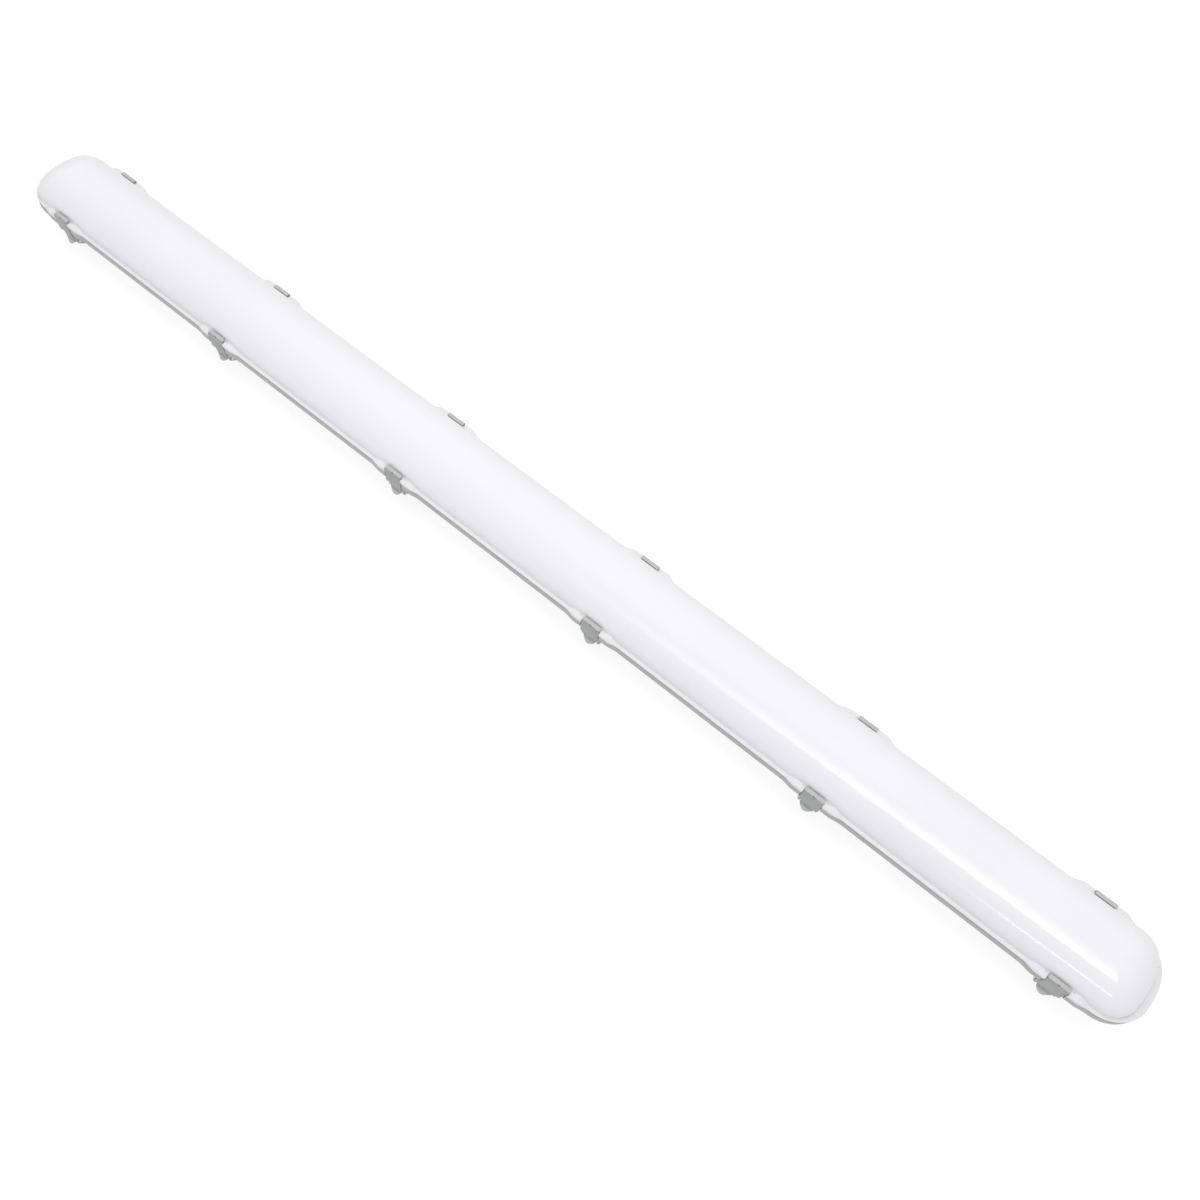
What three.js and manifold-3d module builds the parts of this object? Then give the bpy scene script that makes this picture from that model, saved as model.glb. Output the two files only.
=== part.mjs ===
// Vapor tight light fixture: an opal lens clamped to a grey housing by a row of latches on each side.
// Units are millimetres. Z rises from the mounting face to the lens and X runs along the fixture.
// Across the fixture, u is the distance out from the centre plane, so both sides share one profile.
import * as THREE from 'three';
import { mergeVertices } from 'three/addons/utils/BufferGeometryUtils.js';
import Module from 'manifold-3d';

const wasm = await Module();
wasm.setup();

// Fits and tolerances
const GAP = 0.3; // clearance between separate pieces
const WELD = 0.001; // points closer than this are one
const OVERRUN = 1; // how far cuts and joined blocks run past a face

// Whole flange, seen from above
const LENGTH = 1566;
const FLANGE_WIDTH = 102.6;
const FLANGE_CORNER = 42;
const FLANGE_BOW = 110; // radius of the gently bowed end

// Housing
const HOUSING_WALL = 2.5;
const HOUSING_DEPTH = 44.2; // from the back face to the underside of the flange
const HOUSING_RIM = 8.2; // height of the housing's flange
const BACK_WIDTH = 55;
const BACK_CORNER = 16;
const BODY_CORNER = 30;
const BACK_FILLET = 3;
const END_OVERHANG = 26; // flange end past the end wall
const END_DRAFT = 5;

// Lens
const LENS_WALL = 2.2;
const LENS_RIM = 3.8; // height of the lens flange's edge
const LENS_DRAFT = 0.4;
const EDGE_ROUND = 0.9;
const SHELF_SIDE = 3.9; // flange outside the dome, along the sides
const SHELF_END = 8.2; // and at the ends
const DOME_RISE = 34.9;
const DOME_SHOULDER = 23; // radius of the dome's shoulders
const DOME_CORNER = 28;
const DOME_BOW = 115;
const DOME_CREST = 1.6; // half width of the flat strip left on the crest
const TONGUE_DEPTH = 2.7; // tongue that presses on the gasket, below the lens rim

// Gasket and its channel
const CHANNEL_DEPTH = 5.7;
const CHANNEL_INSIDE = 1; // channel past the tongue, towards the middle
const CHANNEL_OUTSIDE = 1.8;
const CHANNEL_LIP = 2.2; // wall between the channel and the hollow

// Scallops, where the flanges swell out around each latch
const SCALLOP_LENGTH = 72;
const SCALLOP_RAMP = 14;
const LENS_SWELL = 2.9;
const HOUSING_SWELL = 1.9;
const PAD_RISE = 3.2; // the lens flange rises to meet the hook
const PAD_CHAMFER = 1.5;
const PAD_CHAMFER_DROP = 0.5;

// Latch places along each side
const LATCHES_PER_SIDE = 6;
const END_LATCH_INSET = 79; // from the flange end to the middle of the last latch
const END_PITCH_SHARE = 0.97; // last pitch of a row, as a share of the others

// Latch
const LATCH_WIDTH = 23;
const LATCH_SHEET = 2.2;
const LIP_THICKNESS = 2.7;
const LIP_CLEAR = 1.2; // from the dome to the hook's tip
const LIP_BEVEL = 0.7;
const LIP_ROUND = 1.2;
const LIP_FILLET = 0.5;
const PLATE_BELOW_FLANGE = 5.2;
const PLATE_CHAMFER = 0.4;
const PLATE_CHAMFER_HEIGHT = 1.2;
const NOTCH_BITE = 0.3; // latch notch inside the flange's straight edge
const LENS_SLOT = 0.6; // play beside the plate in the lens flange
const HOUSING_SLOT = 1.4; // and in the housing flange
const SCREWDRIVER_NOTCH = 4.4;
const SCREWDRIVER_NOTCH_DEPTH = 0.9;
const TAB_WIDTH = 17;
const TAB_RAISE = 1.5; // middle of the half moon over the pin
const TAB_SETBACK = 3.3; // tab face behind the plate's face
const TAB_FLARE = 1.2;
const TAB_SHEET = 1.8;
const WEB_SHEET = 1.5;

// Latch pivot
const PIVOT_INSET = 5.8; // from the flange's straight edge to the pin
const PIVOT_DROP = 15.7; // from the underside of the flange to the pin
const PIN_RADIUS = 1.3;
const PIN_HEAD_LIP = 1;
const PIN_HEAD = 1;
const KNUCKLE_RADIUS = 3.7;
const EAR_RADIUS = 4;
const EAR_THICKNESS = 2.7;
const EAR_TOP_INSET = 1;
const EAR_FOOT = 13.3; // from the pin down to the foot of the ear

// Gear tray, its pillars and screws
const TRAY_PLAY = 3; // between the tray's side and the wall
const TRAY_SIDE = 9;
const TRAY_SHEET = 1;
const TRAY_BELOW_PARTING = 5.2; // from the top of the housing down to the tray's face
const TRAY_END_GAP = 24; // from the tray's end to the end wall
const PILLAR_RADIUS = 4.2;
const PILLAR_FROM_SIDE = 11.5; // from the tray's side to the middle of a pillar
const SCREW_RADIUS = 1.3;
const SCREW_DEPTH = 9;
const SCREW_HEAD_RADIUS = 3.4;
const SCREW_HEAD = 2;
const SCREW_SLOT = 0.9;
const RIB_HEIGHT = 8;
const RIB_THICKNESS = 2;

// Light boards
const BOARDS = 3;
const BOARD_GAP = 6; // between two boards
const BOARD_INSET = 4.5; // from the tray's end to the last board
const BOARD_WIDTH = 24;
const BOARD_THICKNESS = 1.6;
const CHIP_LENGTH = 3.5;
const CHIP_WIDTH = 2.8;
const CHIP_HEIGHT = 0.7;
const CHIP_PITCH = 40;
const PLUG_LENGTH = 9;
const PLUG_WIDTH = 7;
const PLUG_HEIGHT = 4;

// Driver, terminal block and wires, which hang under the tray
const DRIVER_LENGTH = 280;
const DRIVER_WIDTH = 30;
const DRIVER_HEIGHT = 20;
const DRIVER_PLACE = -200;
const DRIVER_FOOT = 14;
const DRIVER_FOOT_SHEET = 2;
const DRIVER_SLOT = 4.5;
const DRIVER_LID = 3.2;
const DRIVER_GROOVE = 1.2;
const TERMINAL_INSET = 143; // from the flange end to the middle of the block
const TERMINAL_LENGTH = 18;
const TERMINAL_HEIGHT = 17;
const POLE_PITCH = 8;
const POLE_HOLE = 4;
const POLE_HOLE_DEPTH = 6;
const SCREW_WELL = 3;
const SCREW_WELL_DEPTH = 5;
const WIRE_RADIUS = 1.2;
const WIRE_STRAIGHT = 12; // led straight out of the block and the driver
const WIRE_SAG = 4;

// Cable entry at one end and blanking plug at the other
const ENTRY_RAISE = 1.1; // over the middle of the end wall
const ENTRY_RADIUS = 10;
const BOSS_WALL = 6;
const BOSS_PROUD = 1.5; // boss outside the end wall
const BOSS_PROUD_INSIDE = 0.5;
const GLAND_SHOULDER = 2; // hexagon's flats past the stem
const GLAND_HEX_HEIGHT = 5;
const GLAND_COLLAR = 7;
const GLAND_STEP = 1.4; // from the stem down to the collar
const GLAND_WALL = 2.2;
const GLAND_STEM_INSIDE = 7;
const NUT_HEIGHT = 13;
const NUT_ROUND = 3;
const NUT_MOUTH = 5.4;
const SEAL_WALL = 1.9;
const SEAL_LENGTH = 8;
const LOCKNUT_HEIGHT = 4;
const LOCKNUT_SHOULDER = 4;
const PLUG_LIP = 3.5; // plug's head past its stem
const PLUG_HEAD = 4;
const PLUG_ROUND = 1.2;
const PLUG_SLOT = 2;
const PLUG_STEM_INSIDE = 4;
const RING_HEIGHT = 1.6;

// Mounting brackets
const BRACKET_SHEET = 1.5;
const BRACKET_WIDTH = 28;
const BRACKET_PAST_LATCH = 82.5; // from the last latch but one
const BRACKET_RISE = 18.5; // arm height over the mounting face
const BRACKET_HOOK = 1.1;
const BRACKET_HOOK_HEIGHT = 2.2;
const BRACKET_SLOT_WIDTH = 5.5;
const BRACKET_SLOT_LENGTH = 15;

// Counts of facets
const CORNER_STEPS = 7;
const BOW_STEPS = 4;
const RAMP_STEPS = 3;
const SHOULDER_STEPS = 3;
const CROWN_STEPS = 5;
const ROUND_STEPS = 16;
const SMALL_ROUND_STEPS = 8;
const LOBE_STEPS = 4;
const MOON_STEPS = 7;
const FILLET_STEPS = 3;
const WIRE_STEPS = 12;
const WIRE_SIDES = 6;

// Shares of the pieces that carry them
const PILLAR_SHARES = [-0.8, -0.3, 0.3, 0.8];
const RIB_SHARES = [-0.9, -0.7, -0.5, -0.1, 0.1, 0.5, 0.7, 0.9];
const SWELL_AT_SKIRT_SHARE = 0.8;
const CHIP_SPREAD_SHARE = 0.86;

// Levels, from the mounting face up
const BACK_Z = BRACKET_SHEET + GAP;
const FLANGE_Z = BACK_Z + HOUSING_DEPTH;
const PARTING_Z = FLANGE_Z + HOUSING_RIM;
const CHANNEL_Z = PARTING_Z - CHANNEL_DEPTH;
const LENS_Z = PARTING_Z + GAP;
const TONGUE_Z = LENS_Z - TONGUE_DEPTH;
const SHELF_Z = LENS_Z + LENS_RIM;
const PAD_Z = SHELF_Z + PAD_RISE;
const TRAY_Z = PARTING_Z - TRAY_BELOW_PARTING;
const TRAY_UNDER_Z = TRAY_Z - TRAY_SHEET;
const HANG_Z = TRAY_UNDER_Z - GAP;
const ENTRY_Z = (BACK_Z + FLANGE_Z) / 2 + ENTRY_RAISE;
const LIP_Z = PAD_Z + GAP;
const LIP_TOP_Z = LIP_Z + LIP_THICKNESS;
const PLATE_END_Z = FLANGE_Z - PLATE_BELOW_FLANGE;

// Distances out from the centre plane and along the fixture
const FLANGE_U = FLANGE_WIDTH / 2;
const FLANGE_X = LENGTH / 2;
const DOME_U = FLANGE_U - SHELF_SIDE;
const DOME_X = FLANGE_X - SHELF_END;
const BACK_U = BACK_WIDTH / 2;
const BODY_U = DOME_U - LENS_WALL - CHANNEL_INSIDE - CHANNEL_LIP + HOUSING_WALL; // under the flange
const WALL_X = FLANGE_X - END_OVERHANG;
const BOSS_X = WALL_X + BOSS_PROUD;
const BOSS_INSIDE_X = WALL_X - END_DRAFT - HOUSING_WALL - BOSS_PROUD_INSIDE;
const NOTCH_U = FLANGE_U - NOTCH_BITE;
const PLATE_U = NOTCH_U + GAP;
const FACE_U = PLATE_U + LATCH_SHEET;
const PIVOT = new THREE.Vector2(FLANGE_U - PIVOT_INSET, FLANGE_Z - PIVOT_DROP);
const EAR_INSIDE = TAB_WIDTH / 2 + GAP + GAP / 2;
const EAR_OUTSIDE = EAR_INSIDE + EAR_THICKNESS;
const PIN_HOLE = PIN_RADIUS + GAP;
const TRAY_X = WALL_X - HOUSING_WALL - TRAY_END_GAP;

// Closed solid from a geometry, ready to be joined or cut
function solid(geometry) {
  const bare = geometry.clone();
  bare.deleteAttribute('normal');
  bare.deleteAttribute('uv');
  const merged = mergeVertices(bare, WELD);
  return new wasm.Manifold(new wasm.Mesh({
    numProp: 3,
    vertProperties: new Float32Array(merged.attributes.position.array),
    triVerts: new Uint32Array(merged.index.array),
  }));
}

// Join, cut or overlap closed geometries, one after another, and give the result flat facets
function combine(action, first, others) {
  const body = others.reduce((rest, next) => rest[action](solid(next)), solid(first));
  const mesh = body.getMesh();
  const geometry = new THREE.BufferGeometry();
  geometry.setAttribute('position', new THREE.Float32BufferAttribute(mesh.vertProperties, mesh.numProp));
  geometry.setIndex(new THREE.Uint32BufferAttribute(mesh.triVerts, 1));
  const flat = geometry.toNonIndexed();
  flat.computeVertexNormals();
  return flat;
}
const join = (first, ...others) => combine('add', first, others);
const cut = (first, ...others) => combine('subtract', first, others);
const overlap = (first, second) => combine('intersect', first, [second]);
const moved = (geometry, x, y, z) => geometry.clone().translate(x, y, z);

// Triangles across a ring whose two sides mirror each other, worked back from its tip in pairs
function capAcross(ring) {
  const count = ring.length;
  const tip = ring.indexOf(ring.reduce((best, point) => (point.x > best.x ? point : best)));
  const at = (place) => (place + count) % count;
  return Array.from({ length: count / 2 }, (unused, step) => {
    const [left, right] = [at(tip + step), at(tip - step)];
    const [leftNext, rightNext] = [at(left + 1), at(right - 1)];
    return [[right, left, leftNext], [right, leftNext, rightNext]];
  }).flat();
}

// Solid skinned over rings of equal count that run anticlockwise seen from above
function loft(rings) {
  const count = rings[0].length;
  const index = [];
  rings.slice(1).forEach((ring, level) => {
    const low = level * count;
    const high = low + count;
    ring.forEach((point, place) => {
      const next = (place + 1) % count;
      index.push(low + place, low + next, high + next, low + place, high + next, high + place);
    });
  });
  const top = (rings.length - 1) * count;
  capAcross(rings[0]).forEach((face) => index.push(...face.toReversed()));
  capAcross(rings.at(-1)).forEach((face) => index.push(...face.map((place) => place + top)));
  const geometry = new THREE.BufferGeometry();
  const points = rings.flat().flatMap((point) => point.toArray());
  geometry.setAttribute('position', new THREE.Float32BufferAttribute(points, 3));
  geometry.setIndex(index);
  return geometry;
}

// Points of an arc, both ends included
function arc(centre, radius, from, to, steps) {
  return Array.from({ length: steps + 1 }, (unused, step) => {
    const angle = THREE.MathUtils.lerp(from, to, step / steps);
    return new THREE.Vector2(Math.cos(angle), Math.sin(angle)).multiplyScalar(radius).add(centre);
  });
}

// Closed profile across the fixture, in u and z, pushed along X
function acrossProfile(points, from, to) {
  const turn = new THREE.Matrix4().makeBasis(
    new THREE.Vector3(0, 1, 0), new THREE.Vector3(0, 0, 1), new THREE.Vector3(1, 0, 0),
  );
  return new THREE.ExtrudeGeometry(new THREE.Shape(points), { depth: to - from, bevelEnabled: false })
    .applyMatrix4(turn).translate(from, 0, 0);
}

// Closed profile along the fixture, in x and z, pushed out along u
function frontProfile(points, from, to) {
  return new THREE.ExtrudeGeometry(new THREE.Shape(points), { depth: to - from, bevelEnabled: false })
    .rotateX(Math.PI / 2).translate(0, to, 0);
}

// Block between two corners
function block(low, high) {
  const size = high.map((value, place) => value - low[place]);
  const middle = high.map((value, place) => (value + low[place]) / 2);
  return new THREE.BoxGeometry(...size).translate(...middle);
}

// Turned pieces: a profile of radii and places along the axis, closed on the axis
function turned(points, steps) {
  return new THREE.LatheGeometry(points.map(([radius, place]) => new THREE.Vector2(radius, place)), steps);
}
const turnedAlongX = (points, steps) => turned(points, steps).rotateZ(-Math.PI / 2);
const turnedAlongZ = (points, steps) => turned(points, steps).rotateX(Math.PI / 2);

// Plain round bar between two places
const barProfile = (radius, from, to) => [[0, from], [radius, from], [radius, to], [0, to]];
const barAlongX = (radius, from, to, steps) => turnedAlongX(barProfile(radius, from, to), steps);
const barAlongZ = (radius, from, to, steps) => turnedAlongZ(barProfile(radius, from, to), steps);

// Bearing of the point where a line from outside touches a circle
function tangentBearing(centre, radius, outside, side) {
  const away = outside.clone().sub(centre);
  return away.angle() + side * Math.acos(radius / away.length());
}

// Middles of the latches along one side
const LATCH_STATIONS = Array.from({ length: LATCHES_PER_SIDE }, (unused, place) => {
  const outermost = (LATCHES_PER_SIDE - 1) / 2;
  const lastStep = 1 - END_PITCH_SHARE;
  const pitch = (FLANGE_X - END_LATCH_INSET) / (outermost - lastStep);
  const offset = place - outermost;
  const trim = Math.abs(offset) === outermost ? lastStep : 0;
  return Math.sign(offset) * (Math.abs(offset) - trim) * pitch;
});

// How far the flange swells at a place along a side, from 0 to 1
function swellAt(x) {
  const nearest = Math.min(...LATCH_STATIONS.map((station) => Math.abs(x - station)));
  return THREE.MathUtils.smoothstep(SCALLOP_LENGTH / 2 - nearest, 0, SCALLOP_RAMP);
}

// Places along a side where the scalloped outline needs a point
const SCALLOP_STATIONS = LATCH_STATIONS.flatMap((station) => {
  const ramp = Array.from({ length: RAMP_STEPS + 1 }, (unused, step) => (
    SCALLOP_LENGTH / 2 - SCALLOP_RAMP * (step / RAMP_STEPS)
  ));
  return [...ramp.map((reach) => station - reach), ...ramp.toReversed().map((reach) => station + reach)];
});

// Outline seen from above: straight sides, round corners and bowed ends, anticlockwise.
// Where stations are given, the sides swell outwards and rise around each latch.
function planRing(plan, z, stations = [], swell = 0, lift = 0) {
  const { x, u, corner, bow } = plan;
  const reach = Math.sqrt((bow - corner) ** 2 - (u - corner) ** 2);
  const hub = new THREE.Vector2(x - bow + reach, u - corner);
  const bowAngle = Math.atan2(hub.y, reach);
  const side = stations.map((station) => {
    const share = swellAt(station);
    const place = THREE.MathUtils.clamp(station, -hub.x, hub.x);
    return new THREE.Vector3(place, -u - swell * share, z + lift * share);
  });
  const end = [
    ...arc(new THREE.Vector2(hub.x, -hub.y), corner, -Math.PI / 2, -bowAngle, CORNER_STEPS),
    ...arc(new THREE.Vector2(x - bow, 0), bow, -bowAngle, bowAngle, BOW_STEPS).slice(1, -1),
    ...arc(hub, corner, bowAngle, Math.PI / 2, CORNER_STEPS),
  ].map((point) => new THREE.Vector3(point.x, point.y, z));
  const half = [...side, ...end];
  return [...half, ...half.map((point) => new THREE.Vector3(-point.x, -point.y, point.z))];
}

// The same outline moved in, with its corners kept round
const insetPlan = (plan, inset) => ({
  x: plan.x - inset, u: plan.u - inset, corner: plan.corner - inset, bow: plan.bow - inset,
});
const prism = (plan, low, high) => loft([planRing(plan, low), planRing(plan, high)]);

const FLANGE_PLAN = { x: FLANGE_X, u: FLANGE_U, corner: FLANGE_CORNER, bow: FLANGE_BOW };
const DOME_PLAN = { x: DOME_X, u: DOME_U, corner: DOME_CORNER, bow: DOME_BOW };
const BACK_PLAN = { x: WALL_X - END_DRAFT, u: BACK_U, corner: BACK_CORNER, bow: FLANGE_BOW };
const BODY_PLAN = { x: WALL_X, u: BODY_U, corner: BODY_CORNER, bow: FLANGE_BOW };

// Piece built at u on the +Y side, copied to a latch place on either side
function placed(geometry, x, side) {
  const copy = geometry.clone();
  if (side < 0) copy.rotateZ(Math.PI);
  return copy.translate(x, 0, 0);
}
const SIDES = [{ tag: 'near', side: -1 }, { tag: 'far', side: 1 }];
const LATCH_SITES = SIDES.flatMap(({ tag, side }) => (
  LATCH_STATIONS.map((x, place) => ({ x, side, name: `${tag}_${place + 1}` }))
));
const atEverySite = (geometry) => LATCH_SITES.map(({ x, side }) => placed(geometry, x, side));

// Outer and inner faces of the housing's side wall at a height
const wallU = (z) => THREE.MathUtils.mapLinear(z, BACK_Z, FLANGE_Z, BACK_U, BODY_U);
const insideU = (z) => (
  THREE.MathUtils.mapLinear(z, BACK_Z + HOUSING_WALL, FLANGE_Z, BACK_U - HOUSING_WALL, BODY_U - HOUSING_WALL)
);
const TRAY_U = insideU(TRAY_Z - TRAY_SIDE) - TRAY_PLAY;
const PILLAR_U = TRAY_U - PILLAR_FROM_SIDE;

// Half section of the dome: distance out from the centre plane and height over its root
function domeSection(inset) {
  const width = DOME_U - inset;
  const rise = DOME_RISE - inset;
  const shoulder = DOME_SHOULDER - inset;
  const crown = ((width - shoulder) ** 2 + rise ** 2 - shoulder ** 2) / (2 * (rise - shoulder));
  const shoulderHub = new THREE.Vector2(width - shoulder, 0);
  const crownHub = new THREE.Vector2(0, rise - crown);
  const meet = Math.atan2(-crownHub.y, shoulderHub.x);
  const crest = Math.acos(DOME_CREST / crown);
  return [
    ...arc(shoulderHub, shoulder, 0, meet, SHOULDER_STEPS),
    ...arc(crownHub, crown, meet, crest, CROWN_STEPS).slice(1),
  ];
}

// Dome solid from the tongue's lower edge to the crest, as thick as the inset leaves it
function domeBody(inset, bottom) {
  const root = insetPlan(DOME_PLAN, inset);
  const rings = domeSection(inset).map((point) => {
    const share = point.x / root.u;
    const plan = {
      x: root.x - root.u + point.x, u: point.x, corner: root.corner * share, bow: root.bow * share,
    };
    return planRing(plan, SHELF_Z + point.y);
  });
  return loft([planRing(root, bottom), ...rings]);
}

// Notch around the latch plate, open outwards, through a flange between two levels
function latchNotch(play, low, high) {
  const half = LATCH_WIDTH / 2 + play;
  const outside = FLANGE_U + LENS_SWELL + HOUSING_SWELL + OVERRUN;
  return block([-half, NOTCH_U, low], [half, outside, high]);
}

// The lens pad falls away at its edge, so that the turning hook clears it
function padChamfer() {
  const half = LATCH_WIDTH / 2 + LENS_SLOT;
  return acrossProfile([
    new THREE.Vector2(NOTCH_U - PAD_CHAMFER, PAD_Z),
    new THREE.Vector2(NOTCH_U, PAD_Z - PAD_CHAMFER_DROP),
    new THREE.Vector2(NOTCH_U + OVERRUN, PAD_Z - PAD_CHAMFER_DROP),
    new THREE.Vector2(NOTCH_U + OVERRUN, PAD_Z + OVERRUN),
    new THREE.Vector2(NOTCH_U - PAD_CHAMFER, PAD_Z + OVERRUN),
  ], -half, half);
}

function lens() {
  const ring = (plan, z, swell, lift) => planRing(plan, z, SCALLOP_STATIONS, swell, lift);
  const inDomeWall = insetPlan(FLANGE_PLAN, SHELF_SIDE + LENS_WALL / 2);
  const flange = loft([
    ring(insetPlan(FLANGE_PLAN, LENS_DRAFT), LENS_Z, LENS_SWELL * SWELL_AT_SKIRT_SHARE, 0),
    ring(FLANGE_PLAN, SHELF_Z - EDGE_ROUND, LENS_SWELL, PAD_RISE),
    ring(insetPlan(FLANGE_PLAN, EDGE_ROUND), SHELF_Z, LENS_SWELL, PAD_RISE),
    ring(inDomeWall, SHELF_Z, 0, PAD_RISE),
  ]);
  const notch = latchNotch(LENS_SLOT, LENS_Z - OVERRUN, PAD_Z + OVERRUN);
  return cut(
    join(domeBody(0, TONGUE_Z), flange),
    domeBody(LENS_WALL, TONGUE_Z - OVERRUN),
    ...atEverySite(join(notch, padChamfer())),
  );
}

// Ear that carries one end of a latch pin, hung under the flange and footed on the wall
function ear(inside, outside) {
  const sunk = HOUSING_WALL / 2;
  const topZ = FLANGE_Z + sunk;
  const footZ = PIVOT.y - EAR_FOOT;
  const brow = new THREE.Vector2(NOTCH_U - EAR_TOP_INSET, topZ);
  const foot = new THREE.Vector2(wallU(footZ) - sunk, footZ);
  const start = tangentBearing(PIVOT, EAR_RADIUS, brow, -1);
  const stop = tangentBearing(PIVOT, EAR_RADIUS, foot, 1) - 2 * Math.PI;
  return acrossProfile([
    new THREE.Vector2(wallU(topZ) - sunk, topZ),
    brow,
    ...arc(PIVOT, EAR_RADIUS, start, stop, LOBE_STEPS),
    foot,
  ], inside, outside);
}

// Both ears of one latch, bored for its pin
function earPair() {
  const bore = barAlongX(PIN_HOLE, -EAR_OUTSIDE - OVERRUN, EAR_OUTSIDE + OVERRUN, SMALL_ROUND_STEPS)
    .translate(0, PIVOT.x, PIVOT.y);
  return cut(join(ear(EAR_INSIDE, EAR_OUTSIDE), ear(-EAR_OUTSIDE, -EAR_INSIDE)), bore);
}

// Housing shell without its flange, from the outline at the back to the one under the flange
function housingBody() {
  const hub = new THREE.Vector2(BACK_FILLET, BACK_FILLET);
  const fillet = arc(hub, BACK_FILLET, -Math.PI / 2, -Math.PI, FILLET_STEPS);
  const foot = fillet.map((point) => planRing(insetPlan(BACK_PLAN, point.x), BACK_Z + point.y));
  return loft([...foot, planRing(BODY_PLAN, FLANGE_Z), planRing(BODY_PLAN, FLANGE_Z + HOUSING_WALL / 2)]);
}

function housingHollow() {
  const lower = loft([
    planRing(insetPlan(BACK_PLAN, HOUSING_WALL), BACK_Z + HOUSING_WALL),
    planRing(insetPlan(BODY_PLAN, HOUSING_WALL), FLANGE_Z),
    planRing(insetPlan(BODY_PLAN, HOUSING_WALL), PARTING_Z + OVERRUN),
  ]);
  const rimInside = LENS_WALL + CHANNEL_INSIDE + CHANNEL_LIP;
  const upper = prism(insetPlan(DOME_PLAN, rimInside), FLANGE_Z + HOUSING_WALL, PARTING_Z + OVERRUN);
  return join(lower, upper);
}

function gasketChannel() {
  const outer = insetPlan(DOME_PLAN, -CHANNEL_OUTSIDE);
  const inner = insetPlan(DOME_PLAN, LENS_WALL + CHANNEL_INSIDE);
  return cut(prism(outer, CHANNEL_Z, LENS_Z), prism(inner, FLANGE_Z, SHELF_Z));
}

// Pillar places take turns on either side of the middle
const PILLAR_SITES = PILLAR_SHARES.map((share, place) => (
  [share * TRAY_X, place % 2 ? -PILLAR_U : PILLAR_U, 0]
));

// Pillars under the tray, each with a blind hole for its screw
function pillars() {
  const low = BACK_Z + HOUSING_WALL / 2;
  const hole = barAlongZ(SCREW_RADIUS + GAP, HANG_Z - SCREW_DEPTH - GAP, HANG_Z + OVERRUN, SMALL_ROUND_STEPS);
  const pillar = cut(barAlongZ(PILLAR_RADIUS, low, HANG_Z, SMALL_ROUND_STEPS), hole);
  return PILLAR_SITES.map((site) => moved(pillar, ...site));
}

// Low ribs that stiffen the housing's floor
function floorRibs() {
  const low = BACK_Z + HOUSING_WALL / 2;
  const high = BACK_Z + HOUSING_WALL + RIB_HEIGHT;
  const sunk = HOUSING_WALL / 2;
  return RIB_SHARES.map((share) => acrossProfile([
    new THREE.Vector2(-wallU(low) + sunk + BACK_FILLET, low),
    new THREE.Vector2(wallU(low) - sunk - BACK_FILLET, low),
    new THREE.Vector2(wallU(high) - sunk, high),
    new THREE.Vector2(-wallU(high) + sunk, high),
  ], share * TRAY_X - RIB_THICKNESS / 2, share * TRAY_X + RIB_THICKNESS / 2));
}

// Side pocket for a bracket's hooked arm
function bracketPocket() {
  const high = BRACKET_RISE + GAP;
  const low = BRACKET_RISE - BRACKET_HOOK_HEIGHT - GAP;
  const half = BRACKET_WIDTH / 2 + GAP;
  return acrossProfile([
    new THREE.Vector2(wallU(low) - BRACKET_HOOK - GAP, low),
    new THREE.Vector2(wallU(low) + OVERRUN, low),
    new THREE.Vector2(wallU(high) + OVERRUN, high),
    new THREE.Vector2(wallU(low) - BRACKET_HOOK - GAP, high),
  ], -half, half);
}

// Pad behind a bracket pocket, which keeps the wall whole there
function pocketPad() {
  const low = BACK_Z + HOUSING_WALL / 2;
  const high = BRACKET_RISE + HOUSING_WALL;
  const half = BRACKET_WIDTH / 2 + HOUSING_WALL;
  const inner = BRACKET_HOOK + GAP + HOUSING_WALL;
  return acrossProfile([
    new THREE.Vector2(wallU(low) - inner, low),
    new THREE.Vector2(wallU(low) - BACK_FILLET, low),
    new THREE.Vector2(wallU(high) - HOUSING_WALL / 2, high),
    new THREE.Vector2(wallU(high) - inner, high),
  ], -half, half);
}

const BRACKET_X = LATCH_STATIONS.at(-2) + BRACKET_PAST_LATCH;
const BRACKET_SITES = [-BRACKET_X, BRACKET_X];

function housing() {
  const ring = (plan, z, swell) => planRing(plan, z, SCALLOP_STATIONS, swell, 0);
  const flange = loft([
    ring(insetPlan(FLANGE_PLAN, EDGE_ROUND), FLANGE_Z, HOUSING_SWELL),
    ring(FLANGE_PLAN, FLANGE_Z + EDGE_ROUND, HOUSING_SWELL),
    ring(FLANGE_PLAN, PARTING_Z, HOUSING_SWELL),
  ]);
  const boss = barAlongX(ENTRY_RADIUS + BOSS_WALL, BOSS_INSIDE_X, BOSS_X, ROUND_STEPS)
    .translate(0, 0, ENTRY_Z);
  const bore = barAlongX(ENTRY_RADIUS + GAP, -FLANGE_X, FLANGE_X, ROUND_STEPS).translate(0, 0, ENTRY_Z);
  const atPockets = (shape) => BRACKET_SITES.flatMap((x) => SIDES.map(({ side }) => placed(shape, x, side)));
  const shell = join(
    cut(join(housingBody(), flange), housingHollow(), gasketChannel()),
    boss, boss.clone().rotateZ(Math.PI),
    ...atEverySite(earPair()), ...atPockets(pocketPad()), ...pillars(), ...floorRibs(),
  );
  const notch = latchNotch(HOUSING_SLOT, FLANGE_Z - OVERRUN, PARTING_Z + OVERRUN);
  return cut(shell, ...atEverySite(notch), ...atPockets(bracketPocket()), bore);
}

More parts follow.
